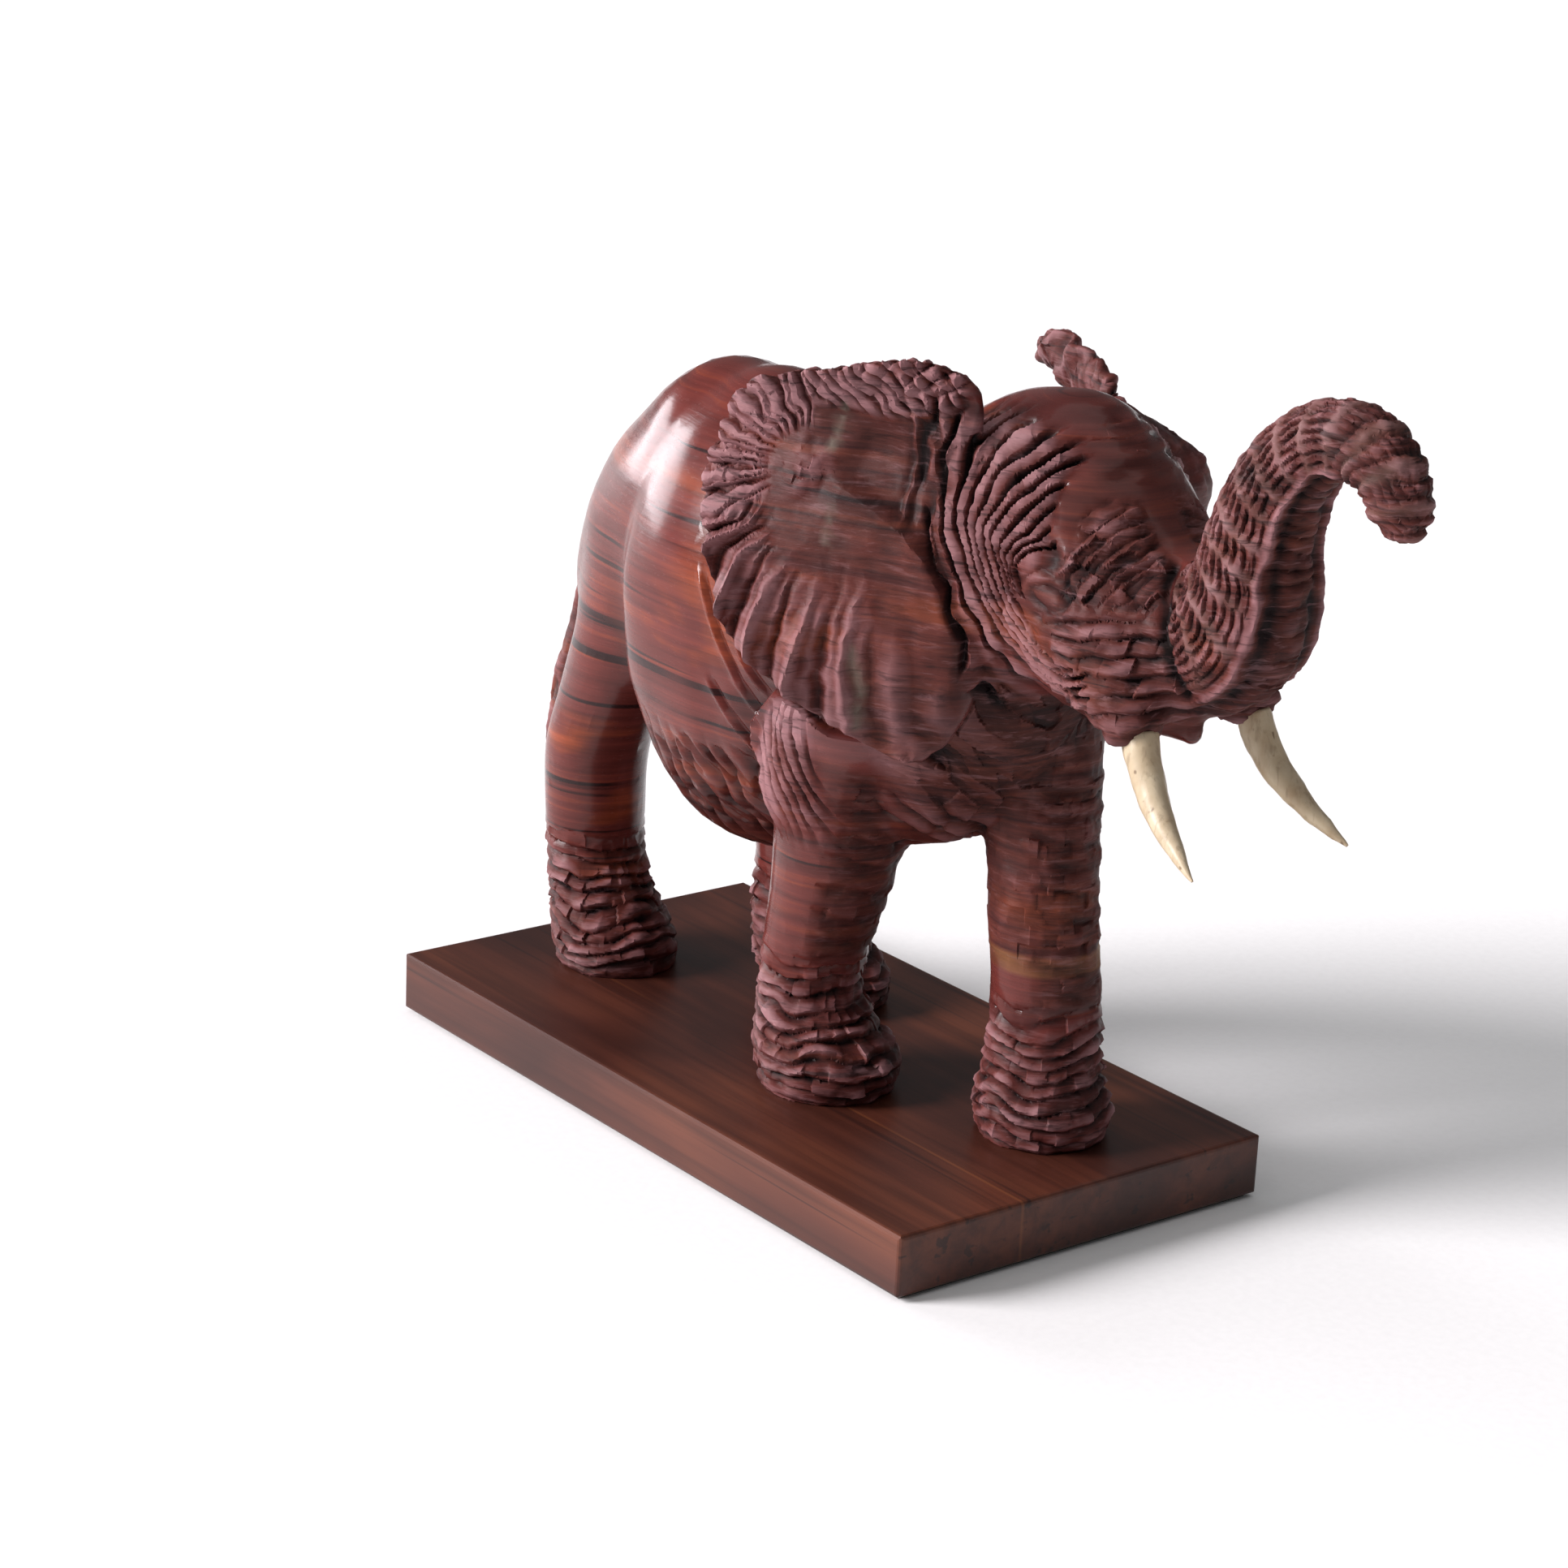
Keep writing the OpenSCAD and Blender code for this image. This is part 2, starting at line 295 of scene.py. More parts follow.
class Form:
    """A closed solid held as distances from its surface, on a share of the carving's grid."""

    def __init__(self, shell: tuple[np.ndarray, np.ndarray], cell: float, band: float) -> None:
        """Measures a shell.

        Args:
            shell: Points in millimetres and triangles.
            cell: The grid's pitch in millimetres.
            band: How far from the surface distances are kept.
        """
        points, triangles = shell
        grid = vdb.FloatGrid.createLevelSetFromPolygons(
            points.astype(np.float32), triangles=triangles.astype(np.uint32),
            transform=vdb.createLinearTransform(voxelSize=cell), halfWidth=band / cell)
        low, high = grid.evalActiveVoxelBoundingBox()
        self.cell = cell
        self.band = band
        self.low = np.array(low)
        self.distance = np.zeros(np.array(high) - low + 1, np.float32)
        grid.copyToArray(self.distance, ijk=tuple(int(i) for i in low))

    def at(self, points: np.ndarray) -> np.ndarray:
        """Reads the distance at any points, the band's width where they are far outside."""
        place = points / self.cell - self.low
        base = np.floor(place).astype(int)
        limit = np.array(self.distance.shape) - 1
        inside = np.all((base >= 0) & (base < limit), axis=1)
        base = np.clip(base, 0, limit - 1)
        f = place - base
        total = np.zeros(len(points))
        for corner in np.ndindex(2, 2, 2):
            share = np.prod(np.where(np.array(corner) == 1, f, 1.0 - f), axis=1)
            i, j, k = (base + corner).T
            total += share * self.distance[i, j, k]
        return np.where(inside, total, self.band)


class Block:
    """The block that the forms are joined in."""

    def __init__(self, low: tuple[float, ...], high: tuple[float, ...], cell: float, band: float) -> None:
        """Makes an empty block between two corners, in millimetres."""
        self.cell = cell
        self.low = np.floor(np.array(low) / cell).astype(int)
        size = np.ceil(np.array(high) / cell).astype(int) - self.low + 1
        self.distance = np.full(size, band, np.float32)

    def _windows(self, form: Form) -> tuple[tuple[slice, ...], tuple[slice, ...]]:
        """The share of the block that a form covers, and the same share of the form."""
        start = np.maximum(form.low, self.low)
        end = np.minimum(form.low + form.distance.shape, self.low + self.distance.shape)
        return (tuple(slice(a, b) for a, b in zip(start - self.low, end - self.low)),
                tuple(slice(a, b) for a, b in zip(start - form.low, end - form.low)))

    def join(self, form: Form, blend: float) -> None:
        """Adds a form, with a fillet of about the blend's size."""
        mine, theirs = self._windows(form)
        a, b = self.distance[mine], form.distance[theirs]
        h = np.maximum(blend - np.abs(a - b), 0.0) / blend
        self.distance[mine] = np.minimum(a, b) - h * h * (blend / 4.0)

    def take(self, form: Form, blend: float) -> None:
        """Cuts a form away, with an eased edge of about the blend's size."""
        mine, theirs = self._windows(form)
        a, b = self.distance[mine], -form.distance[theirs]
        h = np.maximum(blend - np.abs(a - b), 0.0) / blend
        self.distance[mine] = np.maximum(a, b) + h * h * (blend / 4.0)

    def flatten_below(self, z: float) -> None:
        """Cuts the block off level at a height, so that it can stand."""
        heights = (self.low[2] + np.arange(self.distance.shape[2])) * self.cell
        np.maximum(self.distance, (z - heights).astype(np.float32), out=self.distance)

    def surface(self) -> tuple[np.ndarray, np.ndarray]:
        """The block's surface as points in millimetres and triangles that face outwards."""
        skin = SKIN_CELLS * self.cell
        grid = vdb.FloatGrid(skin)
        grid.transform = vdb.createLinearTransform(voxelSize=self.cell)
        near = np.clip(self.distance, -skin, skin)
        grid.copyFromArray(near, ijk=tuple(int(i) for i in self.low))
        points, triangles, quads = grid.convertToPolygons(isovalue=0.0, adaptivity=0.0)
        quads = quads.astype(np.int64)
        faces = np.vstack([triangles.astype(np.int64).reshape(-1, 3), quads[:, [0, 1, 2]],
                           quads[:, [0, 2, 3]]])
        a, b, c = (points[faces[:, i]] for i in range(3))
        if np.einsum("ij,ij->", a, np.cross(b, c)) < 0:
            faces = faces[:, ::-1]
        return points.astype(float), faces


def normals_of(points: np.ndarray, faces: np.ndarray) -> np.ndarray:
    """Unit normals at the points of a triangle mesh."""
    a, b, c = (points[faces[:, i]] for i in range(3))
    flat = np.cross(b - a, c - a)
    total = np.zeros_like(points)
    for axis in range(3):
        for corner in range(3):
            total[:, axis] += np.bincount(faces[:, corner], flat[:, axis], len(points))
    return total / np.maximum(np.linalg.norm(total, axis=1), 1e-12)[:, None]


def mesh_piece(name: str, points: np.ndarray, faces: np.ndarray | list,
               marks: dict[str, np.ndarray] | None = None) -> bpy.types.Object:
    """Makes a piece from points in millimetres.

    Args:
        name: The piece's name.
        points: Its points.
        faces: Its faces, as rows of point numbers.
        marks: Numbers kept on the points, by name.

    Returns:
        The new object, at the origin.
    """
    mesh = bpy.data.meshes.new(name)
    mesh.from_pydata(points * MM, [], faces.tolist() if isinstance(faces, np.ndarray) else faces)
    for mark, values in (marks or {}).items():
        mesh.attributes.new(mark, "FLOAT", "POINT").data.foreach_set("value", values.astype(np.float32))
    mesh.update()
    return linked(name, mesh)


def linked(name: str, data: bpy.types.ID) -> bpy.types.Object:
    """A new object in the scene, holding the data."""
    made = bpy.data.objects.new(name, data)
    bpy.context.scene.collection.objects.link(made)
    return made


def add_node(tree: bpy.types.NodeTree, kind: str, inputs: dict, settings: dict) -> bpy.types.Node:
    """Adds a node to a tree.

    Args:
        tree: The tree.
        kind: The node's type.
        inputs: Values or sockets for its inputs, by name or number.
        settings: The node's own settings.

    Returns:
        The node.
    """
    node = tree.nodes.new(kind)
    for setting, value in settings.items():
        setattr(node, setting, value)
    feed(tree, node, inputs)
    return node


def feed(tree: bpy.types.NodeTree, node: bpy.types.Node, inputs: dict) -> None:
    """Links each socket that is given to a node's input, and sets each value that is given."""
    for key, value in inputs.items():
        if isinstance(value, bpy.types.NodeSocket):
            tree.links.new(value, node.inputs[key])
        else:
            node.inputs[key].default_value = value


def settled(piece: bpy.types.Object) -> None:
    """Turns a piece's modifiers into plain mesh."""
    seen = piece.evaluated_get(bpy.context.evaluated_depsgraph_get())
    mesh = bpy.data.meshes.new_from_object(seen)
    old = piece.data
    piece.modifiers.clear()
    piece.data = mesh
    mesh.name = old.name
    bpy.data.meshes.remove(old)


# ---------------------------------------------------------------- the carving


@dataclass
class Work:
    """The carving's surface while the small cuts are laid out on it, all in millimetres."""

    points: np.ndarray
    normals: np.ndarray
    near: dict[str, np.ndarray]

    def __post_init__(self) -> None:
        """Starts with no cuts."""
        self.height = np.zeros(len(self.points))
        self.shift = np.zeros_like(self.points)
        self.matte = np.zeros(len(self.points))
        self.vein = np.zeros(len(self.points))
        # painted shade: darkening laid on faces that turn from the light, in creases and under parts
        self.painted_shade = np.zeros(len(self.points))
        # painted highlight: a lift added to the relief mark so that crests take the pale colour
        self.painted_highlight = np.zeros(len(self.points))

    @property
    def flat(self) -> np.ndarray:
        """The points seen from the side, as x and z."""
        return self.points[:, [0, 2]]

    def nearest(self, *names: str) -> np.ndarray:
        """The distance from the nearest of the named forms."""
        return np.min([self.near[name] for name in names], axis=0)

    def leave(self, matte: np.ndarray | float = 0.0, painted_shade: np.ndarray | float = 0.0) -> None:
        """Leaves places as the tool left them, and paints shade on them, at least this much."""
        self.matte = np.maximum(self.matte, matte)
        self.painted_shade = np.maximum(self.painted_shade, painted_shade)

    def scratch(self, line: list[tuple[float, float]], width: float, depth: float, where: np.ndarray) -> None:
        """Cuts a groove along a line seen from the side; a negative depth raises a ridge.

        Args:
            line: The groove's corners as x and z.
            width: Its half width.
            depth: Its depth.
            where: How much of it each point takes.
        """
        low, high = np.min(line, axis=0) - 4 * width, np.max(line, axis=0) + 4 * width
        some = np.all((self.flat > low) & (self.flat < high), axis=1) & (where > 0)
        off, along = to_line(self.flat[some], line)
        taper = ramp(along, 0.0, 0.12) * ramp(along, 1.0, 0.88)
        self.height[some] -= depth * bell(off, width) * (0.25 + 0.75 * taper) * where[some]


@dataclass(frozen=True)
class Ear:
    """One ear: a thin plate from a root line on the head out to a ruffled rim."""

    name: str
    side: int
    stations: tuple[tuple[float, ...], ...]
    hub: tuple[float, float]
    thickness: float = 7.5
    steps: int = 4
    facets: int = 28

    def shell(self) -> tuple[np.ndarray, np.ndarray]:
        """The ear's plain shell, rings lying flat from the lobe up."""
        rings = []
        for z, root_x, root_y, rim_x, rim_y, share in catmull(self.stations, self.steps):
            root = np.array([root_x, self.side * root_y, z])
            out = np.array([rim_x, self.side * rim_y, z]) - root
            reach = np.linalg.norm(out)
            out /= reach
            across = np.array([-out[1], out[0], 0.0])
            rings.append(ring(root + out * reach / 2, out, across, reach / 2, self.thickness / 2 * share,
                              self.facets, 0.75))
        return loft(rounded(rings, 1.5, 1.5))

    def front(self) -> np.ndarray:
        """The direction that the ear's front face looks in."""
        return np.array([0.5, 0.86 * self.side, 0.0])

    def outline(self) -> np.ndarray:
        """The ear's outline seen from the side, as x and z."""
        rows = np.array(self.stations)
        rim = rows[:, [3, 0]]
        root = rows[::-1][:, [1, 0]]
        return np.vstack([rim, root])

    def polar(self, flat: np.ndarray) -> tuple[np.ndarray, np.ndarray, np.ndarray]:
        """Turns side-view places into hub angles and shares of the way to the outline.

        Args:
            flat: Places as x and z.

        Returns:
            The angle in degrees (180 to the rear, 270 down), the distance from the hub over the
            outline's, and the outline's distance.
        """
        edge = self.outline() - self.hub
        turn = np.degrees(np.arctan2(edge[:, 1], edge[:, 0])) % 360.0
        order = np.argsort(turn)
        reach = np.hypot(edge[:, 0], edge[:, 1])[order]
        rel = flat - self.hub
        angle = np.degrees(np.arctan2(rel[:, 1], rel[:, 0])) % 360.0
        limit = np.interp(angle, turn[order], reach, period=360.0)
        return angle, np.hypot(rel[:, 0], rel[:, 1]) / limit, limit


@dataclass(frozen=True)
class ElephantCarving:
    """The elephant, cut from one block: forms, then cuts, then a finish."""

    cell: float = 0.72
    band: float = 7.0
    torso: tuple[tuple[float, ...], ...] = (
        (-133, 166, 15, 10), (-128, 168, 33, 20), (-117, 176, 47, 28), (-98, 184, 58, 36),
        (-70, 195, 67, 42), (-48, 190, 73, 45), (-25, 180, 82, 45), (0, 179, 80, 46), (40, 184, 73, 44))
    barrel: tuple[tuple[float, ...], ...] = (
        (-68, 197, 24, 34), (-64, 189, 50, 44), (-55, 182, 73, 51), (-38, 179, 85, 55),
        (-15, 178, 84, 55.5), (0, 179, 80, 54), (40, 184, 73, 50), (75, 192, 68, 44),
        (100, 203, 59, 37), (112, 206, 44, 28))
    skull: tuple[tuple[float, ...], ...] = (
        (70, 220, 48, 36), (90, 229, 52, 38), (108, 236, 50, 37), (126, 238, 49, 36),
        (144, 231, 45, 35), (158, 224, 37, 34), (172, 219, 28, 31), (186, 216, 20, 25), (195, 214, 11, 16))
    lip: tuple[tuple[float, ...], ...] = (
        (140, 0, 206, 19), (156, 0, 201, 15), (170, 0, 196, 10), (183, 0, 190, 3.5))
    pouch: tuple[tuple[float, ...], ...] = (
        (152, 20, 222, 15), (166, 22, 212, 15), (177, 24, 203, 12.5), (184, 24.5, 196, 9))
    trunk: tuple[tuple[float, ...], ...] = (
        (162, 0, 222, 26), (180, 0, 222, 24.5), (197, 0, 226, 22.5), (204, 0, 240, 20.5),
        (206.5, 0, 258, 17.5), (212, 0, 275, 15), (221, 0, 288, 13.5), (235, 0, 296, 12),
        (249, 0, 295.5, 11.5), (259, 0, 288.5, 10.5), (263, 0, 280, 9), (264.5, 0, 275.5, 6.5))
    tail: tuple[tuple[float, ...], ...] = (
        (-104, 0, 226, 6), (-122, -2, 206, 7), (-133, -4, 180, 7), (-139, -7, 150, 7),
        (-141, -9, 122, 10), (-140, -11, 96, 11), (-136, -12, 72, 9), (-130, -13, 54, 4))
    legs: tuple[tuple[str, tuple[tuple[float, ...], ...]], ...] = (
        ("front_right", (
            (0, 33, -20, 24, 23), (11, 33, -20, 27, 25), (22, 26, -20, 22, 21), (35, 22, -20, 18, 18),
            (52, 25, -20, 19, 19), (72, 30, -20, 21, 21), (95, 36, -21, 24, 23),
            (117, 42, -25, 28, 26), (139, 50, -28, 30, 26), (155, 54, -28, 22, 20))),
        ("front_left", (
            (0, 106, 17, 22, 22), (11, 106, 17, 24, 23), (26, 105, 17, 20, 20), (42, 105, 17, 19, 19.5),
            (72, 101, 17, 19, 19), (98, 97, 18, 20, 19), (122, 90, 20, 23, 21), (147, 82, 22, 26, 22),
            (167, 76, 20, 22, 18))),
        ("rear_right", (
            (0, -105, -14, 23, 22), (11, -107, -14, 24.5, 23), (24, -115, -14, 20.5, 20),
            (38, -120, -14, 18.5, 18.5), (61, -119, -16, 19, 19), (84, -114, -19, 20, 19),
            (106, -105, -20, 22, 18.5), (131, -93, -20, 26, 19), (156, -84, -19, 28, 19),
            (176, -80, -16, 24, 17))),
        ("rear_left", (
            (0, -32, 30, 23, 21), (11, -33, 30, 26, 23), (24, -44, 30, 22, 20), (38, -47, 29, 19, 18.5),
            (61, -46, 29, 19.5, 19), (84, -50, 28, 23, 20.5), (106, -60, 27, 28, 23),
            (131, -70, 26, 33, 25), (156, -75, 24, 32, 24), (176, -75, 20, 26, 20))))
    ears: tuple[Ear, Ear] = (
        Ear("ear_right", RIGHT, (
            (165, 100, 39, 100, 48, 0.5), (174, 106, 35, 80, 61, 0.8), (185, 110, 32, 62, 73, 1),
            (200, 112, 31, 47, 82, 1), (216, 112, 31, 37, 82, 1), (231, 110, 31, 28, 79, 1),
            (246, 108, 31, 19, 73, 1), (260, 106, 31, 17, 66, 1), (272, 106, 31, 21, 63, 1),
            (281, 108, 31, 33, 61, 0.9), (289, 108, 33, 62, 56, 0.8), (295, 100, 39, 84, 50, 0.5)),
            (54, 255)),
        Ear("ear_left", LEFT, (
            (165, 100, 39, 100, 48, 0.5), (174, 106, 35, 88, 64, 0.8), (185, 110, 32, 84, 79, 1),
            (200, 112, 31, 82, 90, 1), (216, 112, 31, 82, 95, 1), (231, 110, 31, 80, 96, 1),
            (246, 109, 31, 76, 95, 1), (259, 109, 31, 56, 86, 1), (266, 106, 32, 38, 76, 1),
            (272, 101, 35, 24, 69, 1), (277, 97, 37, 22, 67, 1), (282, 88, 41, 28, 64, 0.9),
            (286, 74, 44, 38, 61, 0.5)), (80, 250)))
    temple: tuple[float, float] = (158.0, 243.0)
    blade_lines: tuple[tuple[tuple[float, float], ...], ...] = (
        ((101, 278), (97, 259), (101, 248), (104, 238), (111, 226), (117, 211), (121, 195)),
        ((114, 281), (108, 272), (108, 260), (108, 250), (112, 238), (120, 225), (127, 213)),
        ((125, 282), (118, 272), (114, 260), (113, 249), (118, 236), (122, 227), (133, 213), (174, 199)),
        ((133, 279), (127, 271), (120, 261), (117, 248), (122, 235), (128, 224), (140, 213), (173, 204)),
        ((140, 275), (134, 268), (127, 260), (121, 247), (125, 236), (129, 226)),
        ((135, 262), (128, 253), (124, 243), (126, 234), (130, 229)),
        ((142, 257), (136, 249), (129, 240), (131, 230)),
        ((148, 246), (139, 242), (133, 234), (133, 224)))
    flap_folds: tuple[tuple[tuple[float, ...], tuple[float, ...]], ...] = (
        ((206, 213, 226, 235), (43, 44, 45, 52)), ((199, 217, 230), (55, 56, 60)),
        ((186, 206, 232), (67, 69, 70)), ((175, 191, 204, 214), (85, 82, 81, 82)),
        ((166, 179, 193), (102, 96, 95)))

    # ---- forms

    def _oval_shell(self, stations: tuple[tuple[float, ...], ...], ends: tuple[float, float]) -> tuple:
        """A torso or head shell; its stations are x, centre height, half height and half width."""
        rings = [ring(np.array([x, 0.0, z]), np.array([0.0, 1.0, 0.0]), np.array([0.0, 0.0, 1.0]), ry, rz, 48)
                 for x, z, rz, ry in catmull(stations, 4)]
        return loft(rounded(rings, *ends))

    def _leg_shell(self, stations: tuple[tuple[float, ...], ...]) -> tuple:
        """A leg's shell; its stations are height over the plinth, x, y, half length and half width."""
        rings = [ring(np.array([x, y, PLINTH_TOP + z]), np.array([1.0, 0.0, 0.0]), np.array([0.0, 1.0, 0.0]),
                      rx, ry, 32) for z, x, y, rx, ry in catmull(stations, 4)]
        return loft(rounded(rings, 0.0, 6.0))

    def rough_out(self, cell: float) -> tuple[Block, dict[str, Form]]:
        """Joins all the forms into one block.

        Args:
            cell: The grid's pitch in millimetres.

        Returns:
            The block, and each form by name.
        """
        def form(shell: tuple) -> Form:
            """The shell measured on this grid."""
            return Form(shell, cell, self.band)

        mirrored = [tuple((x, side * y, z, r) for x, y, z, r in self.pouch) for side in (RIGHT, LEFT)]
        forms = {
            "torso": form(self._oval_shell(self.torso, (3.0, 0.0))),
            "barrel": form(self._oval_shell(self.barrel, (6.0, 8.0))),
            "skull": form(self._oval_shell(self.skull, (0.0, 4.0))),
            "lip": form(tube(self.lip, 24, 4, 0.0, 3.0)),
            "pouch_right": form(tube(mirrored[0], 28, 4, 0.0, 4.0)),
            "pouch_left": form(tube(mirrored[1], 28, 4, 0.0, 4.0)),
            "trunk": form(tube(self.trunk, 32, 5, 0.0, 4.0)),
            "tail": form(tube(self.tail, 20, 5, 0.0, 3.0)),
        }
        forms |= {name: form(self._leg_shell(stations)) for name, stations in self.legs}
        forms |= {ear.name: form(ear.shell()) for ear in self.ears}
        block = Block((-158.0, -96.0, 19.0), (282.0, 104.0, 314.0), cell, self.band)
        blends = {"torso": 3.0, "barrel": 4.0, "skull": 10.0, "lip": 5.0, "pouch_right": 6.0,
                  "pouch_left": 6.0, "trunk": 4.0, "tail": 3.0, "front_right": 3.0, "front_left": 6.0,
                  "rear_right": 6.0, "rear_left": 7.0, "ear_right": 8.0, "ear_left": 8.0}
        for name, blend in blends.items():
            block.join(forms[name], blend)
        for cut, blend in self.hollows():
            block.take(form(cut), blend)
        block.flatten_below(PLINTH_TOP)
        return block, forms

    def hollows(self) -> list[tuple[tuple, float]]:
        """The large hollows with their blends: the crease from barrel to thigh, on each side."""
        crease = ((-77, 47, 236, 1.5), (-75, 49, 218, 3.0), (-74, 50, 192, 4.5), (-74, 50, 168, 6.5),
                  (-73, 47, 146, 8), (-72, 43, 124, 8), (-72, 40, 104, 6))
        return [(tube(tuple((x, side * y, z, r) for x, y, z, r in crease), 20, 4, 1.0, 4.0), 3.0)
                for side in (RIGHT, LEFT)]

    # ---- cuts

    def cut_head_blades(self, work: Work) -> None:
        """Cuts the long curved blades from the crown round the temple to the jaw."""
        x, y, z = work.points.T
        turn = np.degrees(np.arctan2(z - self.temple[1], x - self.temple[0])) % 360.0
        reach = np.hypot(x - self.temple[0], z - self.temple[1])
        radii = []
        for line in self.blade_lines:
            rel = np.array(line) - self.temple
            at = np.degrees(np.arctan2(rel[:, 1], rel[:, 0])) % 360.0
            order = np.argsort(at)
            far = np.interp(turn, at[order], np.hypot(rel[:, 0], rel[:, 1])[order])
            radii.append(np.minimum(far, radii[-1] - 3.0) if radii else far)
        count = between(-reach, [-radius for radius in radii])
        phase = np.interp(count, [-1.0, 0.0, 1.0, 5.0, 6.0, 7.0], [-1.0, 0.0, 1.5, 5.5, 7.0, 9.5])
        starts = np.interp(phase, [0, 2, 3, 4, 5, 7, 9], [140, 132, 124, 118, 112, 128, 148])
        ends = np.interp(phase, [0, 1, 1.5, 5.0, 6, 7, 9], [240, 245, 297, 297, 232, 212, 222])
        where = (ramp(phase, -0.9, -0.5) * ramp(phase, 9.9, 9.2) * ramp(turn, starts, starts + 14.0)
                 * ramp(turn, ends, ends - 13.0) * ramp(np.abs(y), 8.0, 15.0))
        near_ears = np.minimum(work.near["ear_right"], work.near["ear_left"])
        where = where * np.maximum(ramp(near_ears, 0.3, 2.0), ramp(x, 88.0, 97.0) * ramp(z, 292.0, 284.0))
        head = work.nearest("skull", "pouch_right", "pouch_left", "lip", "barrel", "ear_right", "ear_left")
        where = where * ramp(head, 5.0, 2.0)
        phase = phase + 0.12 * unevenness(work.points, 15.0, 4)
        high = 4.8 + 0.9 * unevenness(work.points, 24.0, 5)
        work.height += where * high * (Profile.PLATE(phase) - 0.66)
        work.height += where * 0.45 * facets(phase, turn / 9.0, 8)
        work.leave(matte=where)
        margin = (bell(count + 0.5, 0.3) * ramp(turn, 140.0, 150.0) * ramp(turn, 240.0, 225.0)
                  * ramp(head, 5.0, 2.0))
        work.height -= 1.6 * margin * ramp(np.abs(y), 8.0, 15.0)

    def cut_eyes(self, work: Work) -> None:
        """Cuts a shallow almond eye with lids on each side of the head."""
        x, z = work.flat.T
        sideways = ramp(np.abs(work.points[:, 1]), 18.0, 26.0) * (work.near["skull"] < 4.0)
        oval = np.hypot((x - 150.0 + 0.3 * (z - 231.0)) / 8.0, (z - 231.0) / 3.6)
        work.height += sideways * (0.5 * bell(oval, 0.55) - 1.0 * bell(oval - 1.0, 0.24))
        lids = ([(137, 234), (145, 239), (156, 237), (164, 230)], [(141, 225), (149, 222.5), (158, 225)])
        for line in lids:
            work.scratch(line, 0.9, 0.8, sideways)
        # painted shade round the eye's hollow
        work.leave(matte=0.7 * sideways * bell(oval, 2.2), painted_shade=0.8 * sideways * bell(oval, 1.7))

    def cut_face(self, work: Work) -> None:
        """Cuts the hatched brow, the cheek's level ridges and the trunk root's seam."""
        x, y, z = work.points.T
        side = ramp(np.abs(y), 5.0, 10.0)
        head = ramp(work.nearest("skull", "pouch_right", "pouch_left"), 5.0, 2.5)
        brow = side * head * ramp(x, 150.0, 157.0) * ramp(x, 190.0, 182.0) * ramp(z, 229.0, 234.0)
        brow = brow * ramp(z, 264.0, 258.0)
        wob = unevenness(work.points, 9.0, 11)
        tall = (x * 0.94 - z * 0.34 + 0.4 * wob) / 4.6
        flats = facets(tall, (x * 0.4 + z) / 8.5, 12)
        work.height += brow * (0.9 * (Profile.PLATE(tall) - 0.7) + 1.2 * flats)
        cheek = side * head * ramp(x, 152.0, 159.0) * ramp(z, 232.0, 226.0) * ramp(z, 188.0, 193.0)
        rows = (z - 0.16 * (x - 180.0)) / 5.6 + 0.16 * unevenness(work.points * [1.0, 1.0, 0.6], 14.0, 13)
        much = 1.0 + 0.4 * unevenness(work.points, 16.0, 17)
        work.height += cheek * (1.7 * much * (Profile.FOLD(rows) - 0.6) + 1.1 * facets(x / 8.0, rows, 14))
        crown = head * ramp(z, 258.0, 268.0) * ramp(x, 128.0, 138.0)
        strokes = facets((x - y * 0.5) / 9.0, z / 3.6, 15)
        work.height += crown * (0.3 * unevenness(work.points * [1.0, 1.0, 2.5], 12.0, 16) + 0.25 * strokes)
        # painted shade on the brow, the cheek and the front of the head, which face away from the light
        work.leave(matte=np.maximum(brow, cheek), painted_shade=np.maximum(0.6 * brow, 0.2 * cheek))
        work.leave(painted_shade=0.55 * head * ramp(x, 134.0, 150.0), matte=0.6 * head * ramp(z, 246.0, 234.0))
        seam = [(173, 266), (178, 246), (187, 236), (193, 222), (198, 207)]
        work.scratch(seam, 1.5, 2.8, side * (work.near["trunk"] < 6.0))

    def _along_trunk(self, points: np.ndarray) -> tuple[np.ndarray, np.ndarray, np.ndarray]:
        """Measures points against the trunk's path: how far along, how far forward of it, and its radius."""
        rows = catmull(self.trunk, 12)
        way = np.gradient(rows[:, [0, 2]], axis=0)
        way /= np.linalg.norm(way, axis=1)[:, None]
        run = np.concatenate([[0.0], np.cumsum(np.linalg.norm(np.diff(rows[:, :3], axis=0), axis=1))])
        flat = points[:, [0, 2]]
        away = ((flat[:, None, :] - rows[None, :, [0, 2]]) ** 2).sum(axis=2)
        best = away.argmin(axis=1)
        rel = flat - rows[best][:, [0, 2]]
        forward = rel[:, 0] * way[best, 1] - rel[:, 1] * way[best, 0]
        ahead = (rel * way[best]).sum(axis=1)
        return run[best] + ahead, forward, rows[best, 3]

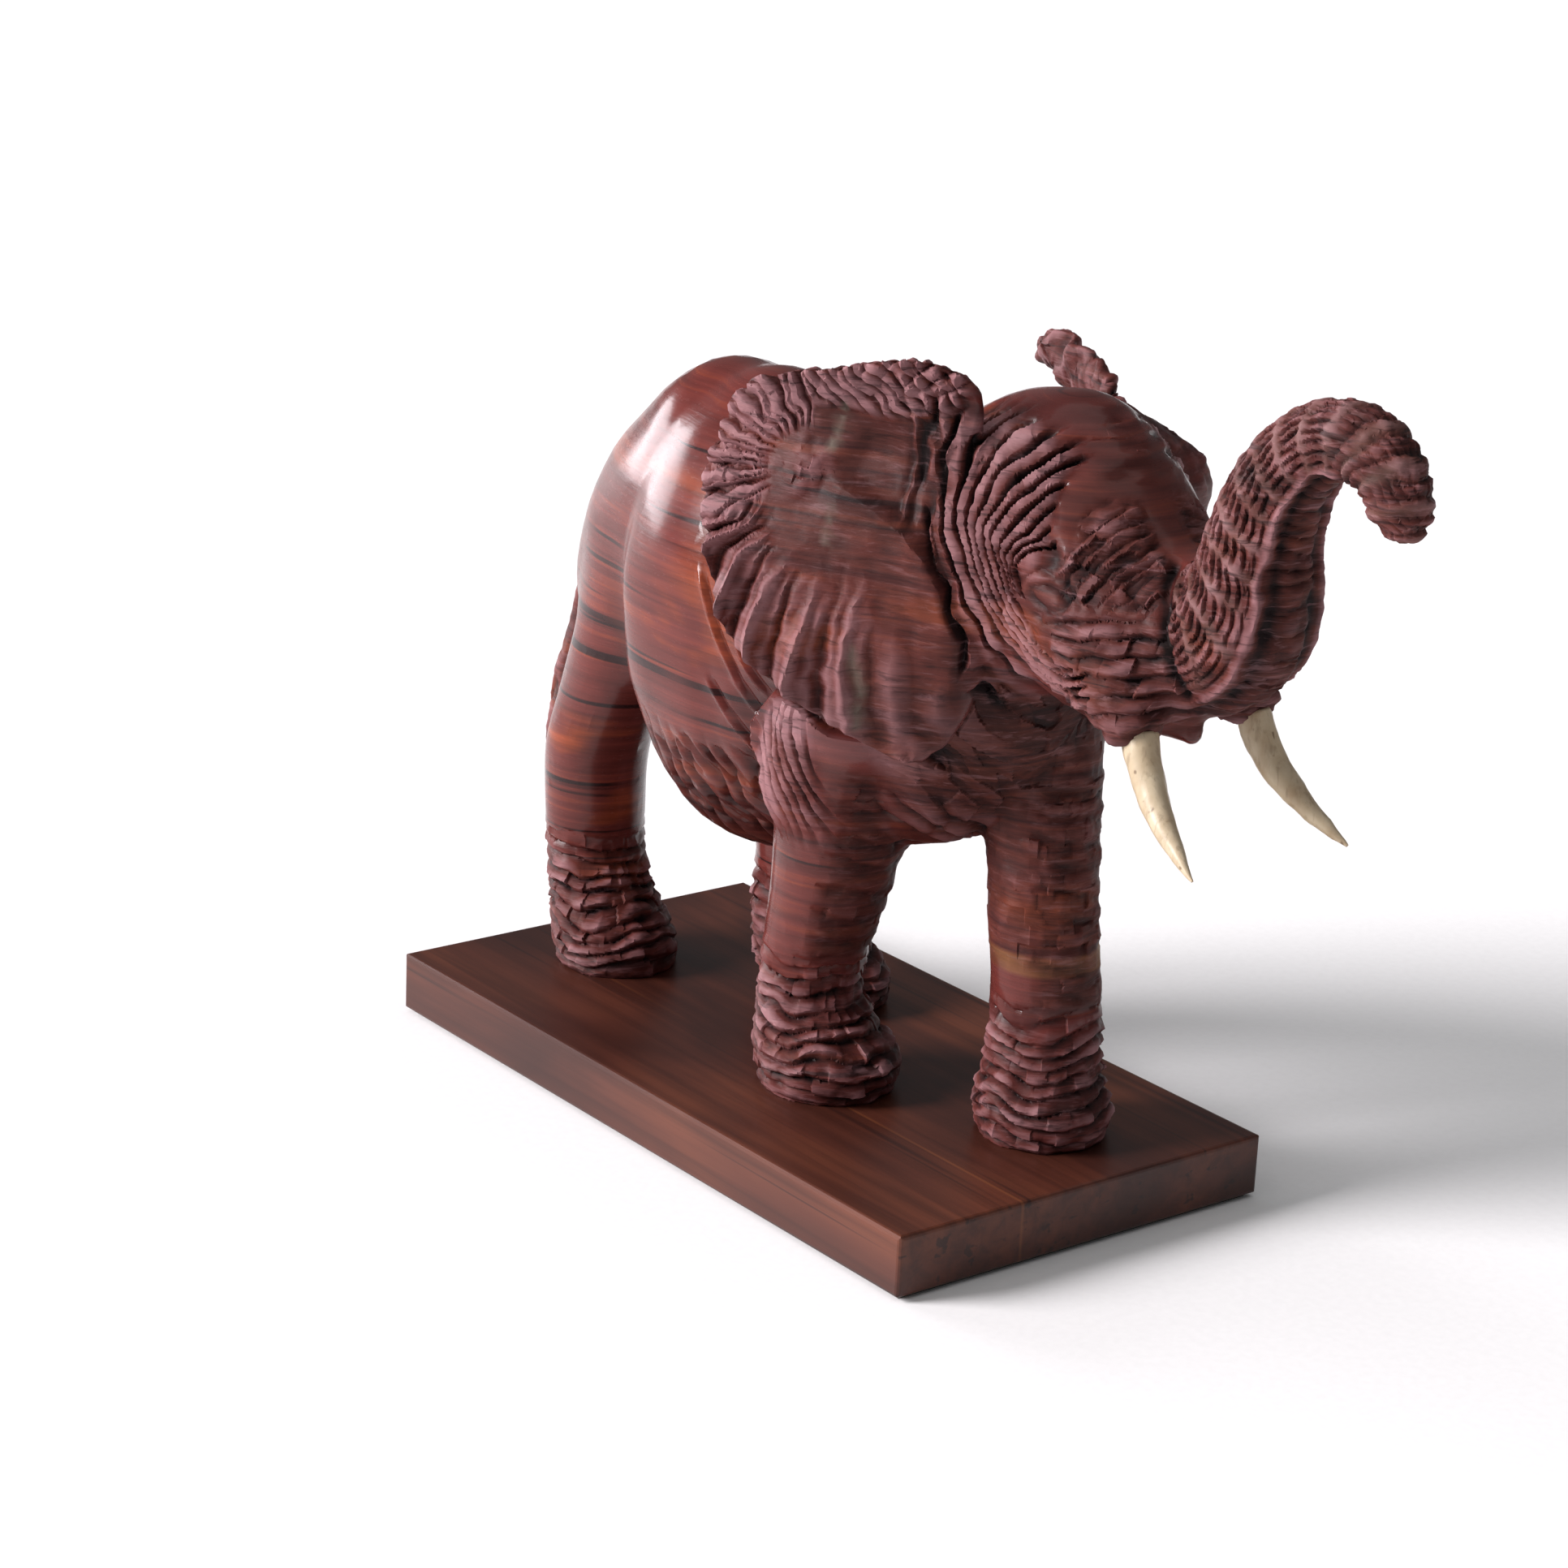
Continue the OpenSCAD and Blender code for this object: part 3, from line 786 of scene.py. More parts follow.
    def cut_trunk(self, work: Work) -> None:
        """Cuts the trunk's slanted bands, the strokes between them and its front ridge and scallops."""
        some = work.near["trunk"] < 3.5
        points = work.points[some]
        run, forward, radius = self._along_trunk(points)
        around = np.arctan2(np.abs(points[:, 1]), forward)
        turn = np.degrees(around)
        start = ramp(run, 26.0, 36.0) * ramp(work.near["trunk"][some], 3.0, 0.6)
        side = ramp(turn, 44.0, 54.0)
        wob = unevenness(points, 14.0, 21)
        slope = np.interp(run, [60.0, 110.0], [0.42, 0.12])
        phase = (run + slope * forward + 0.5 * wob - 1.0) / 9.6
        off = (phase - np.round(phase)) * 9.6
        band = bell(off, 1.6) * np.clip(0.85 + 0.3 * wob, 0.0, 1.0)
        stroke = around * radius / 3.3 + 0.12 * unevenness(points, 9.0, 22) + 0.37 * np.round(phase - 0.5)
        chips = facets(stroke, phase - 0.5, 23)
        height = side * (0.8 * band + (1.0 - band) * (1.4 * (Profile.PLATE(stroke) - 0.75) + 0.5 * chips))
        height += 1.6 * bell(turn - 42.0 - 3.0 * wob, 4.5) - 1.5 * bell(turn - 27.0, 7.0)
        front = ramp(turn, 50.0, 30.0)
        height += front * 1.0 * (Profile.PETAL((run + 1.2 * wob) / 6.2) - 0.6)
        tip = ramp(run, 124.0, 134.0)
        rolls = Profile.FOLD((run + 0.4 * forward + wob) / 5.0)
        height = height * (1.0 - 0.6 * tip) + tip * 1.2 * (rolls - 0.6)
        work.height[some] += start * height
        work.matte[some] = np.maximum(work.matte[some], ramp(run, 22.0, 32.0))
        # painted shade on the trunk's front and tip, which face away from the light
        dark = np.maximum(0.8 * ramp(turn, 46.0, 34.0), 0.35 * tip)
        work.painted_shade[some] = np.maximum(work.painted_shade[some], dark * ramp(run, 22.0, 32.0))
        work.vein[some] = np.maximum(work.vein[some], 0.3 * side * start * band)

    def cut_ear(self, work: Work, ear: Ear) -> None:
        """Ruffles an ear's rim and folds its flap, moving front and back together, then cuts its grooves.

        Args:
            work: The carving's surface.
            ear: Which ear.
        """
        on = ramp(work.near[ear.name], 3.2, 0.8) * (work.points[:, 1] * ear.side > 26.0)
        some = on > 0.0
        on = on[some] * ramp(np.abs(work.points[some][:, 1]), 31.0, 38.0)
        points = work.points[some]
        flat = points[:, [0, 2]]
        x, z = flat.T
        angle, out, limit = ear.polar(flat)
        bold = 1.0 if ear.side == RIGHT else 0.32
        fine = unevenness(flat, 9.0, 33)
        lobe = np.interp(angle, [0, 31, 45, 60, 75, 97, 120, 143, 163, 177, 189, 204, 228, 245, 360],
                         [-9, -7.7, -4.7, -2.9, -1.5, 0, 1, 2, 3, 4, 5, 6, 7, 8, 13]) + 0.05 * fine
        petal = Profile.PETAL(lobe)
        rear = ramp(angle, 88.0, 100.0) * ramp(angle, 232.0, 222.0)
        top = ramp(angle, 20.0, 34.0) * ramp(angle, 102.0, 90.0)
        low = ramp(angle, 218.0, 230.0) * ramp(angle, 318.0, 300.0)
        fold = between(x, [np.interp(z, heights, across) for heights, across in self.flap_folds])
        ridge = Profile.RIDGE(fold + 0.02 * fine)
        swing = bold * rear * 3.8 * (petal - 0.62) * ramp(out, 0.28, 0.9)
        swing += bold * top * 2.6 * (petal - 0.6) * ramp(out, 0.7, 1.0)
        deep = np.interp(x, [74.0, 84.0, 104.0], [6.8, 3.4, 2.6])
        swing += bold * low * deep * (ridge - 0.42) * ramp(out, 0.3, 0.9)
        push = (1.9 * rear + 1.1 * top) * (petal - 0.7) + 1.8 * low * (0.5 - ridge) * (0.4 + 0.6 * bold)
        off, share = to_line(flat, [(61, 254), (72, 250), (82, 245), (91, 240), (99, 233), (105, 224),
                                    (110, 213), (118, 201), (124, 193)])
        lip = np.interp(off, [-26.0, -13.0, -4.0, -0.5, 3.0, 11.0, 26.0],
                        [0.0, 1.3, 3.0, 4.2, -0.8, -2.6, 0.0])
        swing += bold * lip * ramp(share, 0.0, 0.1)
        swing -= bold * 2.8 * bell(np.hypot((x - 80.0) / 20.0, (z - 265.0) / 11.0), 1.0)
        swing += bold * 1.5 * top * ramp(z, 273.0, 278.0)
        knot = bell(np.hypot(x - ear.hub[0], z - ear.hub[1]), 8.0)
        swing += 2.6 * knot
        swing += (1.0 - bold) * 2.2 * unevenness(flat, 20.0, 35)
        radial = flat - ear.hub
        radial /= np.maximum(np.linalg.norm(radial, axis=1), 1.0)[:, None]
        work.shift[some] += (on * swing)[:, None] * ear.front()
        work.shift[some] += (on * push * ramp(out, 0.78, 1.0))[:, None] * np.insert(radial, 1, 0.0, axis=1)
        facing = ramp(np.abs(work.normals[some] @ ear.front()), 0.15, 0.6)
        rays = Profile.PLATE(lobe * 2.0 + 0.1 * fine)
        slant = Profile.PLATE((x * 0.78 + z * 0.62) / 4.8 + 0.15 * fine)
        strands = Profile.RIDGE(fold * 3.0 + 0.15 * fine)
        band = top * ramp(z, 273.0, 278.0) * ramp(x, 114.0, 104.0)
        wide = ramp(out, 0.28, 0.5)
        cut = rear * wide * (1.6 * (rays - 0.7) + 0.5 * facets(lobe * 2.0, out * limit / 9.0, 36))
        cut += band * (1.9 * (slant - 0.62) + 0.7 * facets((x * 0.78 + z * 0.62) / 4.6, (z - x) / 9.0, 37))
        cut += low * ramp(out, 0.3, 0.6) * ramp(x, 92.0, 80.0) * 1.3 * (strands - 0.4)
        pleats = Profile.RIDGE((x - 89.0) / 5.0 + 0.1 * fine)
        cut += 1.5 * ramp(x, 84.0, 88.0) * ramp(z, 238.0, 246.0) * (pleats - 0.5)
        cut += 0.7 * knot * facets(x / 3.4, z / 3.4, 38)
        tip = ramp(x, 56.0, 46.0) if ear.side == LEFT else 0.0
        cut = bold * cut + tip * (0.9 * facets(x / 6.5, z / 6.0, 39) + 0.6 * fine)
        work.height[some] += on * facing * cut
        worked = np.clip(rear * wide + band + 0.75 * low * ramp(out, 0.3, 0.6) + knot, 0.6, 1.0)
        work.matte[some] = np.maximum(work.matte[some], on * worked)
        # painted highlight on the ear's petal tops, band, ridges and knot, through the relief mark
        painted_highlight = (rear * wide * (0.5 + 1.1 * petal) + 0.9 * band + 1.4 * low * ridge * ramp(out, 0.3, 0.6)
                + 0.9 * knot)
        work.painted_highlight[some] += on * facing * painted_highlight * bold
        # painted shade in the ear's dish and flap, away from the tooled parts
        inner = on * facing * (1.0 - np.clip(rear * wide + band + knot, 0.0, 1.0)) * bold
        ear_shade = inner * (0.7 - 0.5 * low * ramp(out, 0.3, 0.7) * ramp(x, 90.0, 76.0))
        work.painted_shade[some] = np.maximum(work.painted_shade[some], ear_shade)
        vein_lines = ([(65, 279), (63, 272), (61, 262)], [(65, 247), (69, 233)],
                      [(83, 203), (86, 188), (87, 175)])
        for line, width in zip(vein_lines, (1.0, 0.7, 1.1)):
            off, along = to_line(flat, line)
            vein = on * bell(off + 0.6 * fine, width) * ramp(along, 0.0, 0.1)
            work.vein[some] = np.maximum(work.vein[some], vein * (ear.side == RIGHT))

    def cut_flank(self, work: Work) -> None:
        """Cuts the folds ahead of the flank, the belly's short strokes and the belly's scallops."""
        x, y, z = work.points.T
        trunk_side = ramp(np.minimum(work.near["barrel"], work.near["torso"]), 4.0, 1.0)
        body = trunk_side * ramp(np.abs(y), 22.0, 34.0)
        folds = ([(-11, 205), (-4, 194), (3, 183), (13, 171), (24, 154)],
                 [(2, 203), (9, 190), (17, 178), (27, 166)], [(12, 200), (20, 188), (28, 177), (37, 169)],
                 [(-2, 168), (6, 158), (14, 147), (25, 138)])
        for line in folds:
            work.scratch([(a + 2.0, b + 1.0) for a, b in line], 1.2, 1.3, body)
            work.scratch(line, 1.0, -0.8, body)
        strokes = np.random.default_rng(7)
        for i in range(30):
            left = -38.0 + 60.0 * (i % 15) / 14.0 + strokes.uniform(-2.0, 2.0)
            high = 124.0 + 18.0 * (i // 15) + 0.16 * left + strokes.uniform(-4.0, 4.0)
            run = strokes.uniform(10.0, 18.0)
            line = [(left, high), (left + 0.5 * run, high - 0.52 * run), (left + run, high - run)]
            work.scratch(line, 1.2, strokes.uniform(1.0, 1.8), body)
        under = ramp(work.normals[:, 2], -0.1, -0.6) * ramp(z, 150.0, 135.0) * trunk_side
        work.height += under * 2.4 * (Profile.PETAL((x + 0.15 * np.abs(y)) / 9.0 + 0.2 * unevenness(
            work.points, 17.0, 41)) - 0.6)
        # painted shade: darker low on the body, in the crease before the thigh, and under the belly
        work.leave(painted_shade=body * np.maximum(0.5 * ramp(z, 150.0, 118.0), 0.8 * bell(x + 76.0, 9.0)
                                           * ramp(z, 205.0, 160.0)))
        work.leave(painted_shade=0.7 * under)

    def cut_shoulders(self, work: Work) -> None:
        """Cuts the foreleg's raised cap, the folds down its rear edge and the forelegs' fronts, with painted
        shade on the fronts.
        """
        x, y, z = work.points.T
        leg = ramp(work.near["front_right"], 3.0, 0.8) * ramp(-y, 22.0, 30.0)
        near_cap = ramp(work.nearest("front_right", "barrel", "torso"), 5.0, 2.0)
        near_cap = near_cap * ramp(-y, 24.0, 32.0)
        cap = [(26, 131), (19, 150), (21, 159), (32, 171), (52, 170.5), (65, 165.5), (86, 165), (94, 160)]
        off, _ = to_line(work.flat, cap)
        step = np.interp(off, [-14.0, -5.0, -0.8, 0.9, 5.0, 12.0], [0, 1.6, 2.6, -2.6, -1.6, 0])
        work.height += near_cap * step
        folds = ramp(x, 16.0, 21.0) * ramp(x, 62.0, 52.0) * ramp(z, 112.0, 140.0) * ramp(z, 173.0, 169.0)
        sway = (x + 0.16 * (z - 150.0) + 2.2 * np.sin(z / 11.0)) / 5.2
        sway = sway + 0.15 * unevenness(work.points, 20.0, 45)
        work.height += leg * folds * 2.2 * (Profile.PLATE(sway) - 0.6)
        work.leave(matte=0.85 * leg * folds)
        for name, pitch in (("front_right", 10.5), ("front_left", 9.0)):
            near = ramp(work.near[name], 3.0, 0.8) * ramp(z, 158.0, 146.0) * ramp(z, 70.0, 78.0)
            front = near * ramp(work.normals[:, 0], 0.45, 0.8)
            rungs = Profile.FOLD((z + 0.25 * y + 1.2 * unevenness(work.points, 18.0, 46)) / pitch)
            chips = facets(y / 9.0, z / 5.0, 47)
            work.height += front * (0.8 * (rungs - 0.6) + 0.5 * chips)
            # painted shade on the forelegs' fronts, which face away from the light
            work.leave(matte=0.6 * front, painted_shade=0.85 * front)
        inner = ramp(work.near["front_left"], 3.0, 0.8) * ramp(z, 84.0, 92.0)
        work.height += inner * 0.5 * facets((x + y) / 8.0, z / 6.0, 48)
        # painted shade on the left foreleg's upper part
        work.leave(painted_shade=0.8 * inner, matte=0.5 * inner)

    def cut_feet(self, work: Work) -> None:
        """Cuts the feet's wavy level wrinkles."""
        z = work.points[:, 2] - PLINTH_TOP
        for seed, (name, stations) in enumerate(self.legs):
            near = ramp(work.near[name], 3.0, 1.0)
            leg = near * ramp(z, 58.0, 36.0)
            wob = unevenness(work.points, 30.0, 51 + seed) + 0.25 * unevenness(work.points, 12.0, 56 + seed)
            rows = (z + 2.1 * wob) / 5.1
            lumps = 0.75 + 0.35 * unevenness(work.points * [1.0, 1.0, 1.6], 14.0, 61 + seed)
            _, x, y, _, _ = stations[1]
            ankle = np.arctan2(work.points[:, 1] - y, work.points[:, 0] - x) * 2.75
            work.height += leg * ramp(z, 0.0, 2.5) * (2.5 * lumps * (Profile.FOLD(rows) - 0.62)
                                                     + 0.9 * facets(ankle, rows, 66 + seed))
            work.leave(matte=0.9 * near * ramp(z, 54.0, 32.0))

    def cut_tail(self, work: Work) -> None:
        """Cuts strands down the tail's brush."""
        tail = ramp(work.near["tail"], 2.0, 0.5)
        x, y, z = work.points.T
        strands = Profile.PLATE((y * 0.9 + x * 0.35 + 1.2 * unevenness(work.points, 20.0, 71)) / 3.4)
        work.height += tail * ramp(z, 140.0, 125.0) * 1.8 * (strands - 0.6)
        work.leave(matte=0.8 * tail)

    def cut_chisel_marks(self, work: Work) -> None:
        """Leaves the shallow flats of the chisel and scraper all over, and the chest's slanting strokes."""
        rough = 0.34 * unevenness(work.points, 10.0, 81) + 0.2 * unevenness(work.points, 4.5, 82)
        smooth = 0.3 * unevenness(work.points, 34.0, 83)
        work.height += work.matte * rough + (1.0 - work.matte) * smooth
        x, y, z = work.points.T
        chest = (ramp(work.near["barrel"], 4.0, 1.0) * ramp(x, 66.0, 84.0) * ramp(z, 208.0, 196.0)
                 * ramp(np.abs(y), 62.0, 52.0))
        bend = 2.5 * unevenness(work.points, 26.0, 84)
        lean = (x * 0.3 + z * 0.75 - np.abs(y) * 0.45 + bend) / 6.5
        fan = (y * 0.9 + z * 0.35 + bend) / 8.0
        work.height += chest * (1.0 * facets(fan, lean, 85) + 0.4 * (Profile.PLATE(lean) - 0.7))
        work.height += chest * ramp(z, 142.0, 130.0) * 2.4 * (Profile.PETAL((y + 14.0) / 15.0) - 0.6)
        # painted shade on the chest, which faces away from the light
        work.leave(matte=0.85 * chest, painted_shade=0.95 * chest)

    def build(self) -> bpy.types.Object:
        """Cuts the carving and thins it to its triangle count.

        Returns:
            The finished piece, with relief (the cut's height plus a painted highlight lift), matte, vein and
            painted-shade marks on its points.
        """
        cell = self.cell * 1.0
        block, forms = self.rough_out(cell)
        points, faces = block.surface()
        near = {name: form.at(points) for name, form in forms.items()}
        work = Work(points, normals_of(points, faces), near)
        self.cut_head_blades(work)
        self.cut_eyes(work)
        self.cut_face(work)
        self.cut_trunk(work)
        for ear in self.ears:
            self.cut_ear(work, ear)
        self.cut_flank(work)
        self.cut_shoulders(work)
        self.cut_feet(work)
        self.cut_tail(work)
        self.cut_chisel_marks(work)
        moved = points + work.normals * work.height[:, None] + work.shift
        moved[:, 2] = np.maximum(moved[:, 2], PLINTH_TOP)
        # relief carries the cut's height plus the painted highlight lift; the painted-shade mark carries
        # painted shade
        marks = {"relief": work.height + work.painted_highlight, "matte": work.matte, "vein": work.vein,
                 "painted_shade": work.painted_shade}
        piece = mesh_piece("carved_elephant", moved, faces, marks)
        if len(faces) > TRIANGLES_KEPT:
            thin = piece.modifiers.new("thin", "DECIMATE")
            thin.ratio = TRIANGLES_KEPT / len(faces)
            settled(piece)
        piece.data.shade_smooth()
        piece.data.set_sharp_from_angle(angle=math.radians(SHARP_EDGE))
        log.info("carving: %d points cut, %d triangles kept", len(points), len(piece.data.polygons))
        return piece


# ---------------------------------------------------------------- tusks and felt


@dataclass(frozen=True)
class Tusk:
    """A bone tusk with scraped flats, and the round tenon that is glued into the head."""

    side: int
    girth: float = 5.8
    flats: int = 11
    wander: float = 0.55
    tenon: tuple[float, float] = (4.0, 13.0)
    stations: tuple[tuple[float, ...], ...] = (
        (184.5, 24, 194.5, 1), (187.8, 24.9, 187.6, 1), (192.5, 26.1, 180.6, 0.9), (199.5, 27.8, 173.4, 0.76),
        (208.5, 30, 166.8, 0.55), (216.5, 31.8, 162, 0.32), (222, 33, 159, 0.08))

    def _tree(self) -> bpy.types.NodeTree:
        """Lays the tree that sweeps a many-sided outline along the tusk's line and scrapes it.

        Returns:
            The tree, with inputs Line, Girth, Flats, Wander and Finish.
        """
        tree = bpy.data.node_groups.new("tusk_sweep", "GeometryNodeTree")
        for name, kind in (("Line", "NodeSocketGeometry"), ("Girth", "NodeSocketFloat"),
                           ("Flats", "NodeSocketInt"), ("Wander", "NodeSocketFloat"),
                           ("Finish", "NodeSocketMaterial")):
            tree.interface.new_socket(name, in_out="INPUT", socket_type=kind)
        tree.interface.new_socket("Tusk", in_out="OUTPUT", socket_type="NodeSocketGeometry")

        def node(kind: str, inputs: dict, **settings) -> bpy.types.Node:
            """Adds a node to this tree."""
            return add_node(tree, kind, inputs, settings)

        given = tree.nodes.new("NodeGroupInput").outputs
        share = node("GeometryNodeInputNamedAttribute", {"Name": "share"}, data_type="FLOAT").outputs[0]
        radius = node("ShaderNodeMath", {0: share, 1: given["Girth"]}, operation="MULTIPLY").outputs[0]
        line = node("GeometryNodeMeshToCurve", {"Mesh": given["Line"]}).outputs[0]
        outline = node("GeometryNodeCurvePrimitiveCircle",
                       {"Resolution": given["Flats"], "Radius": 1.0}).outputs[0]
        swept = node("GeometryNodeCurveToMesh", {"Curve": line, "Profile Curve": outline, "Scale": radius,
                                                 "Fill Caps": True}).outputs[0]
        noise = node("ShaderNodeTexNoise", {"Scale": 130.0, "Detail": 2.0},
                     noise_dimensions="3D").outputs["Color"]
        middle = node("ShaderNodeVectorMath", {0: noise, 1: (0.5, 0.5, 0.5)}, operation="SUBTRACT").outputs[0]
        offset = node("ShaderNodeVectorMath", {0: middle, "Scale": given["Wander"]},
                      operation="SCALE").outputs[0]
        scraped = node("GeometryNodeSetPosition", {"Geometry": swept, "Offset": offset}).outputs[0]
        real = node("GeometryNodeRealizeInstances", {"Geometry": scraped}).outputs[0]
        done = node("GeometryNodeSetMaterial", {"Geometry": real, "Material": given["Finish"]}).outputs[0]
        node("NodeGroupOutput", {0: done})
        return tree

    def build(self, finish: bpy.types.Material) -> bpy.types.Object:
        """Sweeps the tusk along its line.

        Args:
            finish: The bone.

        Returns:
            The finished piece.
        """
        rows = catmull(self.stations, 5)
        way = rows[0, :3] - rows[1, :3]
        way /= np.linalg.norm(way)
        radius, length = self.tenon
        head = [(*(rows[0, :3] + way * reach), radius / self.girth) for reach in (length, length / 2.0, 0.25)]
        rows = np.vstack([head, rows])
        points = rows[:, :3] * (1.0, self.side, 1.0)
        name = "carved_tusk_right" if self.side == RIGHT else "carved_tusk_left"
        mesh = bpy.data.meshes.new(name)
        mesh.from_pydata(points * MM, [(i, i + 1) for i in range(len(points) - 1)], [])
        share = mesh.attributes.new("share", "FLOAT", "POINT")
        share.data.foreach_set("value", rows[:, 3].astype(np.float32))
        piece = linked(name, mesh)
        sweep = piece.modifiers.new("sweep", "NODES")
        sweep.node_group = self._tree()
        sizes = {"Girth": self.girth * MM, "Flats": self.flats, "Wander": self.wander * 3.0 * MM,
                 "Finish": finish}
        for item in sweep.node_group.interface.items_tree:
            if item.in_out == "INPUT" and item.name in sizes:
                sweep[item.identifier] = sizes[item.name]
        settled(piece)
        return piece


@dataclass(frozen=True)
class FeltSheet:
    """The felt under the plinth, cut 3 mm inside its edge all round."""

    width: float = 0.154
    length: float = 0.294
    thick: float = 0.0015
    steps: tuple[int, int] = (98, 52)

    def build(self) -> bpy.types.Object:
        """Lays the sheet, its lower face a little fuzzy."""
        nx, ny = self.steps
        x, y = np.meshgrid(np.linspace(-0.5, 0.5, nx + 1) * self.length,
                           np.linspace(-0.5, 0.5, ny + 1) * self.width)
        flat = np.stack([x.ravel(), y.ravel()], axis=1) / MM
        edge = np.minimum(self.length / 2 / MM - np.abs(flat[:, 0]), self.width / 2 / MM - np.abs(flat[:, 1]))
        fuzz = np.abs(0.07 * unevenness(flat, 9.0, 91)) * ramp(edge, 0.0, 4.0)
        low = np.column_stack([flat, fuzz])
        high = np.column_stack([flat, np.full(len(flat), self.thick / MM)])
        row = nx + 1
        faces = [(j * row + i, (j + 1) * row + i, (j + 1) * row + i + 1, j * row + i + 1)
                 for j in range(ny) for i in range(nx)]
        n = len(flat)
        faces += [tuple(n + k for k in face[::-1]) for face in list(faces)]
        rim = ([i for i in range(nx)] + [j * row + nx for j in range(ny)]
               + [ny * row + i for i in range(nx, 0, -1)] + [j * row for j in range(ny, 0, -1)])
        faces += [(a, b, b + n, a + n) for a, b in zip(rim, rim[1:] + rim[:1])]
        return mesh_piece("pressed_felt", np.vstack([low, high]), faces)


# ---------------------------------------------------------------- finishes


def tone(red: float, green: float, blue: float) -> tuple[float, float, float, float]:
    """A paint-chart colour, each part 0 to 255, as the shaders take it."""
    parts = []
    for part in (red, green, blue):
        c = part / 255.0
        parts.append(c / 12.92 if c <= 0.04045 else ((c + 0.055) / 1.055) ** 2.4)
    return (*parts, 1.0)


class Bench:
    """Wires one material's nodes."""

    def __init__(self, name: str) -> None:
        """Starts a material with a plain glossy shader."""
        self.material = bpy.data.materials.new(name)
        self.material.use_nodes = True
        self.tree = self.material.node_tree
        self.tree.nodes.clear()
        self.shader = self.add("ShaderNodeBsdfPrincipled")
        out = self.add("ShaderNodeOutputMaterial")
        self.tree.links.new(self.shader.outputs[0], out.inputs[0])
        self.place = self.add("ShaderNodeTexCoord").outputs["Object"]

    def add(self, kind: str, inputs: dict | None = None, **settings) -> bpy.types.Node:
        """Adds a node.

        Args:
            kind: The node's type.
            inputs: Values or sockets for its inputs, by name or number.
            settings: The node's own settings.

        Returns:
            The node.
        """
        return add_node(self.tree, kind, inputs or {}, settings)

    def sum(self, kind: str, a: object, b: object = 0.0, c: object = 0.0) -> bpy.types.NodeSocket:
        """One step of arithmetic."""
        return self.add("ShaderNodeMath", {0: a, 1: b, 2: c}, operation=kind).outputs[0]

    def mix(self, share: object, a: object, b: object, blend: str = "MIX") -> bpy.types.NodeSocket:
        """Mixes two colours."""
        node = self.add("ShaderNodeMix", {0: share, 6: a, 7: b}, data_type="RGBA", blend_type=blend)
        return node.outputs[2]

    def grade(self, value: object, low: float, high: float, to_low: float = 0.0,
              to_high: float = 1.0) -> bpy.types.NodeSocket:
        """Spreads low to high over to_low to to_high, and stops at both ends."""
        node = self.add("ShaderNodeMapRange", {0: value, 1: low, 2: high, 3: to_low, 4: to_high})
        return node.outputs[0]

    def noise(self, stretch: tuple[float, float, float], detail: float = 4.0, rough: float = 0.55,
              warp: float = 0.0, place: object = None) -> bpy.types.NodeSocket:
        """Noise whose waves per metre are given for each axis."""
        scaled = self.add("ShaderNodeMapping", {0: place or self.place, 3: stretch}).outputs[0]
        node = self.add("ShaderNodeTexNoise", {"Vector": scaled, "Scale": 1.0, "Detail": detail,
                                               "Roughness": rough, "Distortion": warp})
        return node.outputs[0]

    def axis(self, number: int) -> bpy.types.NodeSocket:
        """One of a place's three coordinates, in metres."""
        return self.add("ShaderNodeSeparateXYZ", {0: self.place}).outputs[number]

    def mark(self, name: str) -> bpy.types.NodeSocket:
        """Reads a mark that was left on the piece's points."""
        return self.add("ShaderNodeAttribute", attribute_name=name).outputs["Fac"]

    def blend_stops(self, value: object, stops: list[tuple[float, tuple]]) -> bpy.types.NodeSocket:
        """Turns a number into a colour by stops."""
        node = self.add("ShaderNodeValToRGB", {0: value})
        scale = node.color_ramp
        while len(scale.elements) < len(stops):
            scale.elements.new(0.5)
        for element, (at, colour) in zip(scale.elements, stops):
            element.position = at
            element.color = colour
        return node.outputs[0]

    def bump(self, height: object, strength: float, distance: float) -> None:
        """Gives the shader a fine surface from a height, distance being in metres."""
        node = self.add("ShaderNodeBump", {"Height": height, "Strength": strength, "Distance": distance})
        self.tree.links.new(node.outputs[0], self.shader.inputs["Normal"])

    def finish(self, colour: object, roughness: object, **shader: object) -> bpy.types.Material:
        """Connects the colour and roughness and sets the shader's other sockets.

        Args:
            colour: The base colour.
            roughness: How matt the surface is.
            shader: Other shader inputs, with _ for a space.

        Returns:
            The finished material.
        """
        values = {"Base Color": colour, "Roughness": roughness}
        values |= {key.replace("_", " "): value for key, value in shader.items()}
        feed(self.tree, self.shader, values)
        return self.material


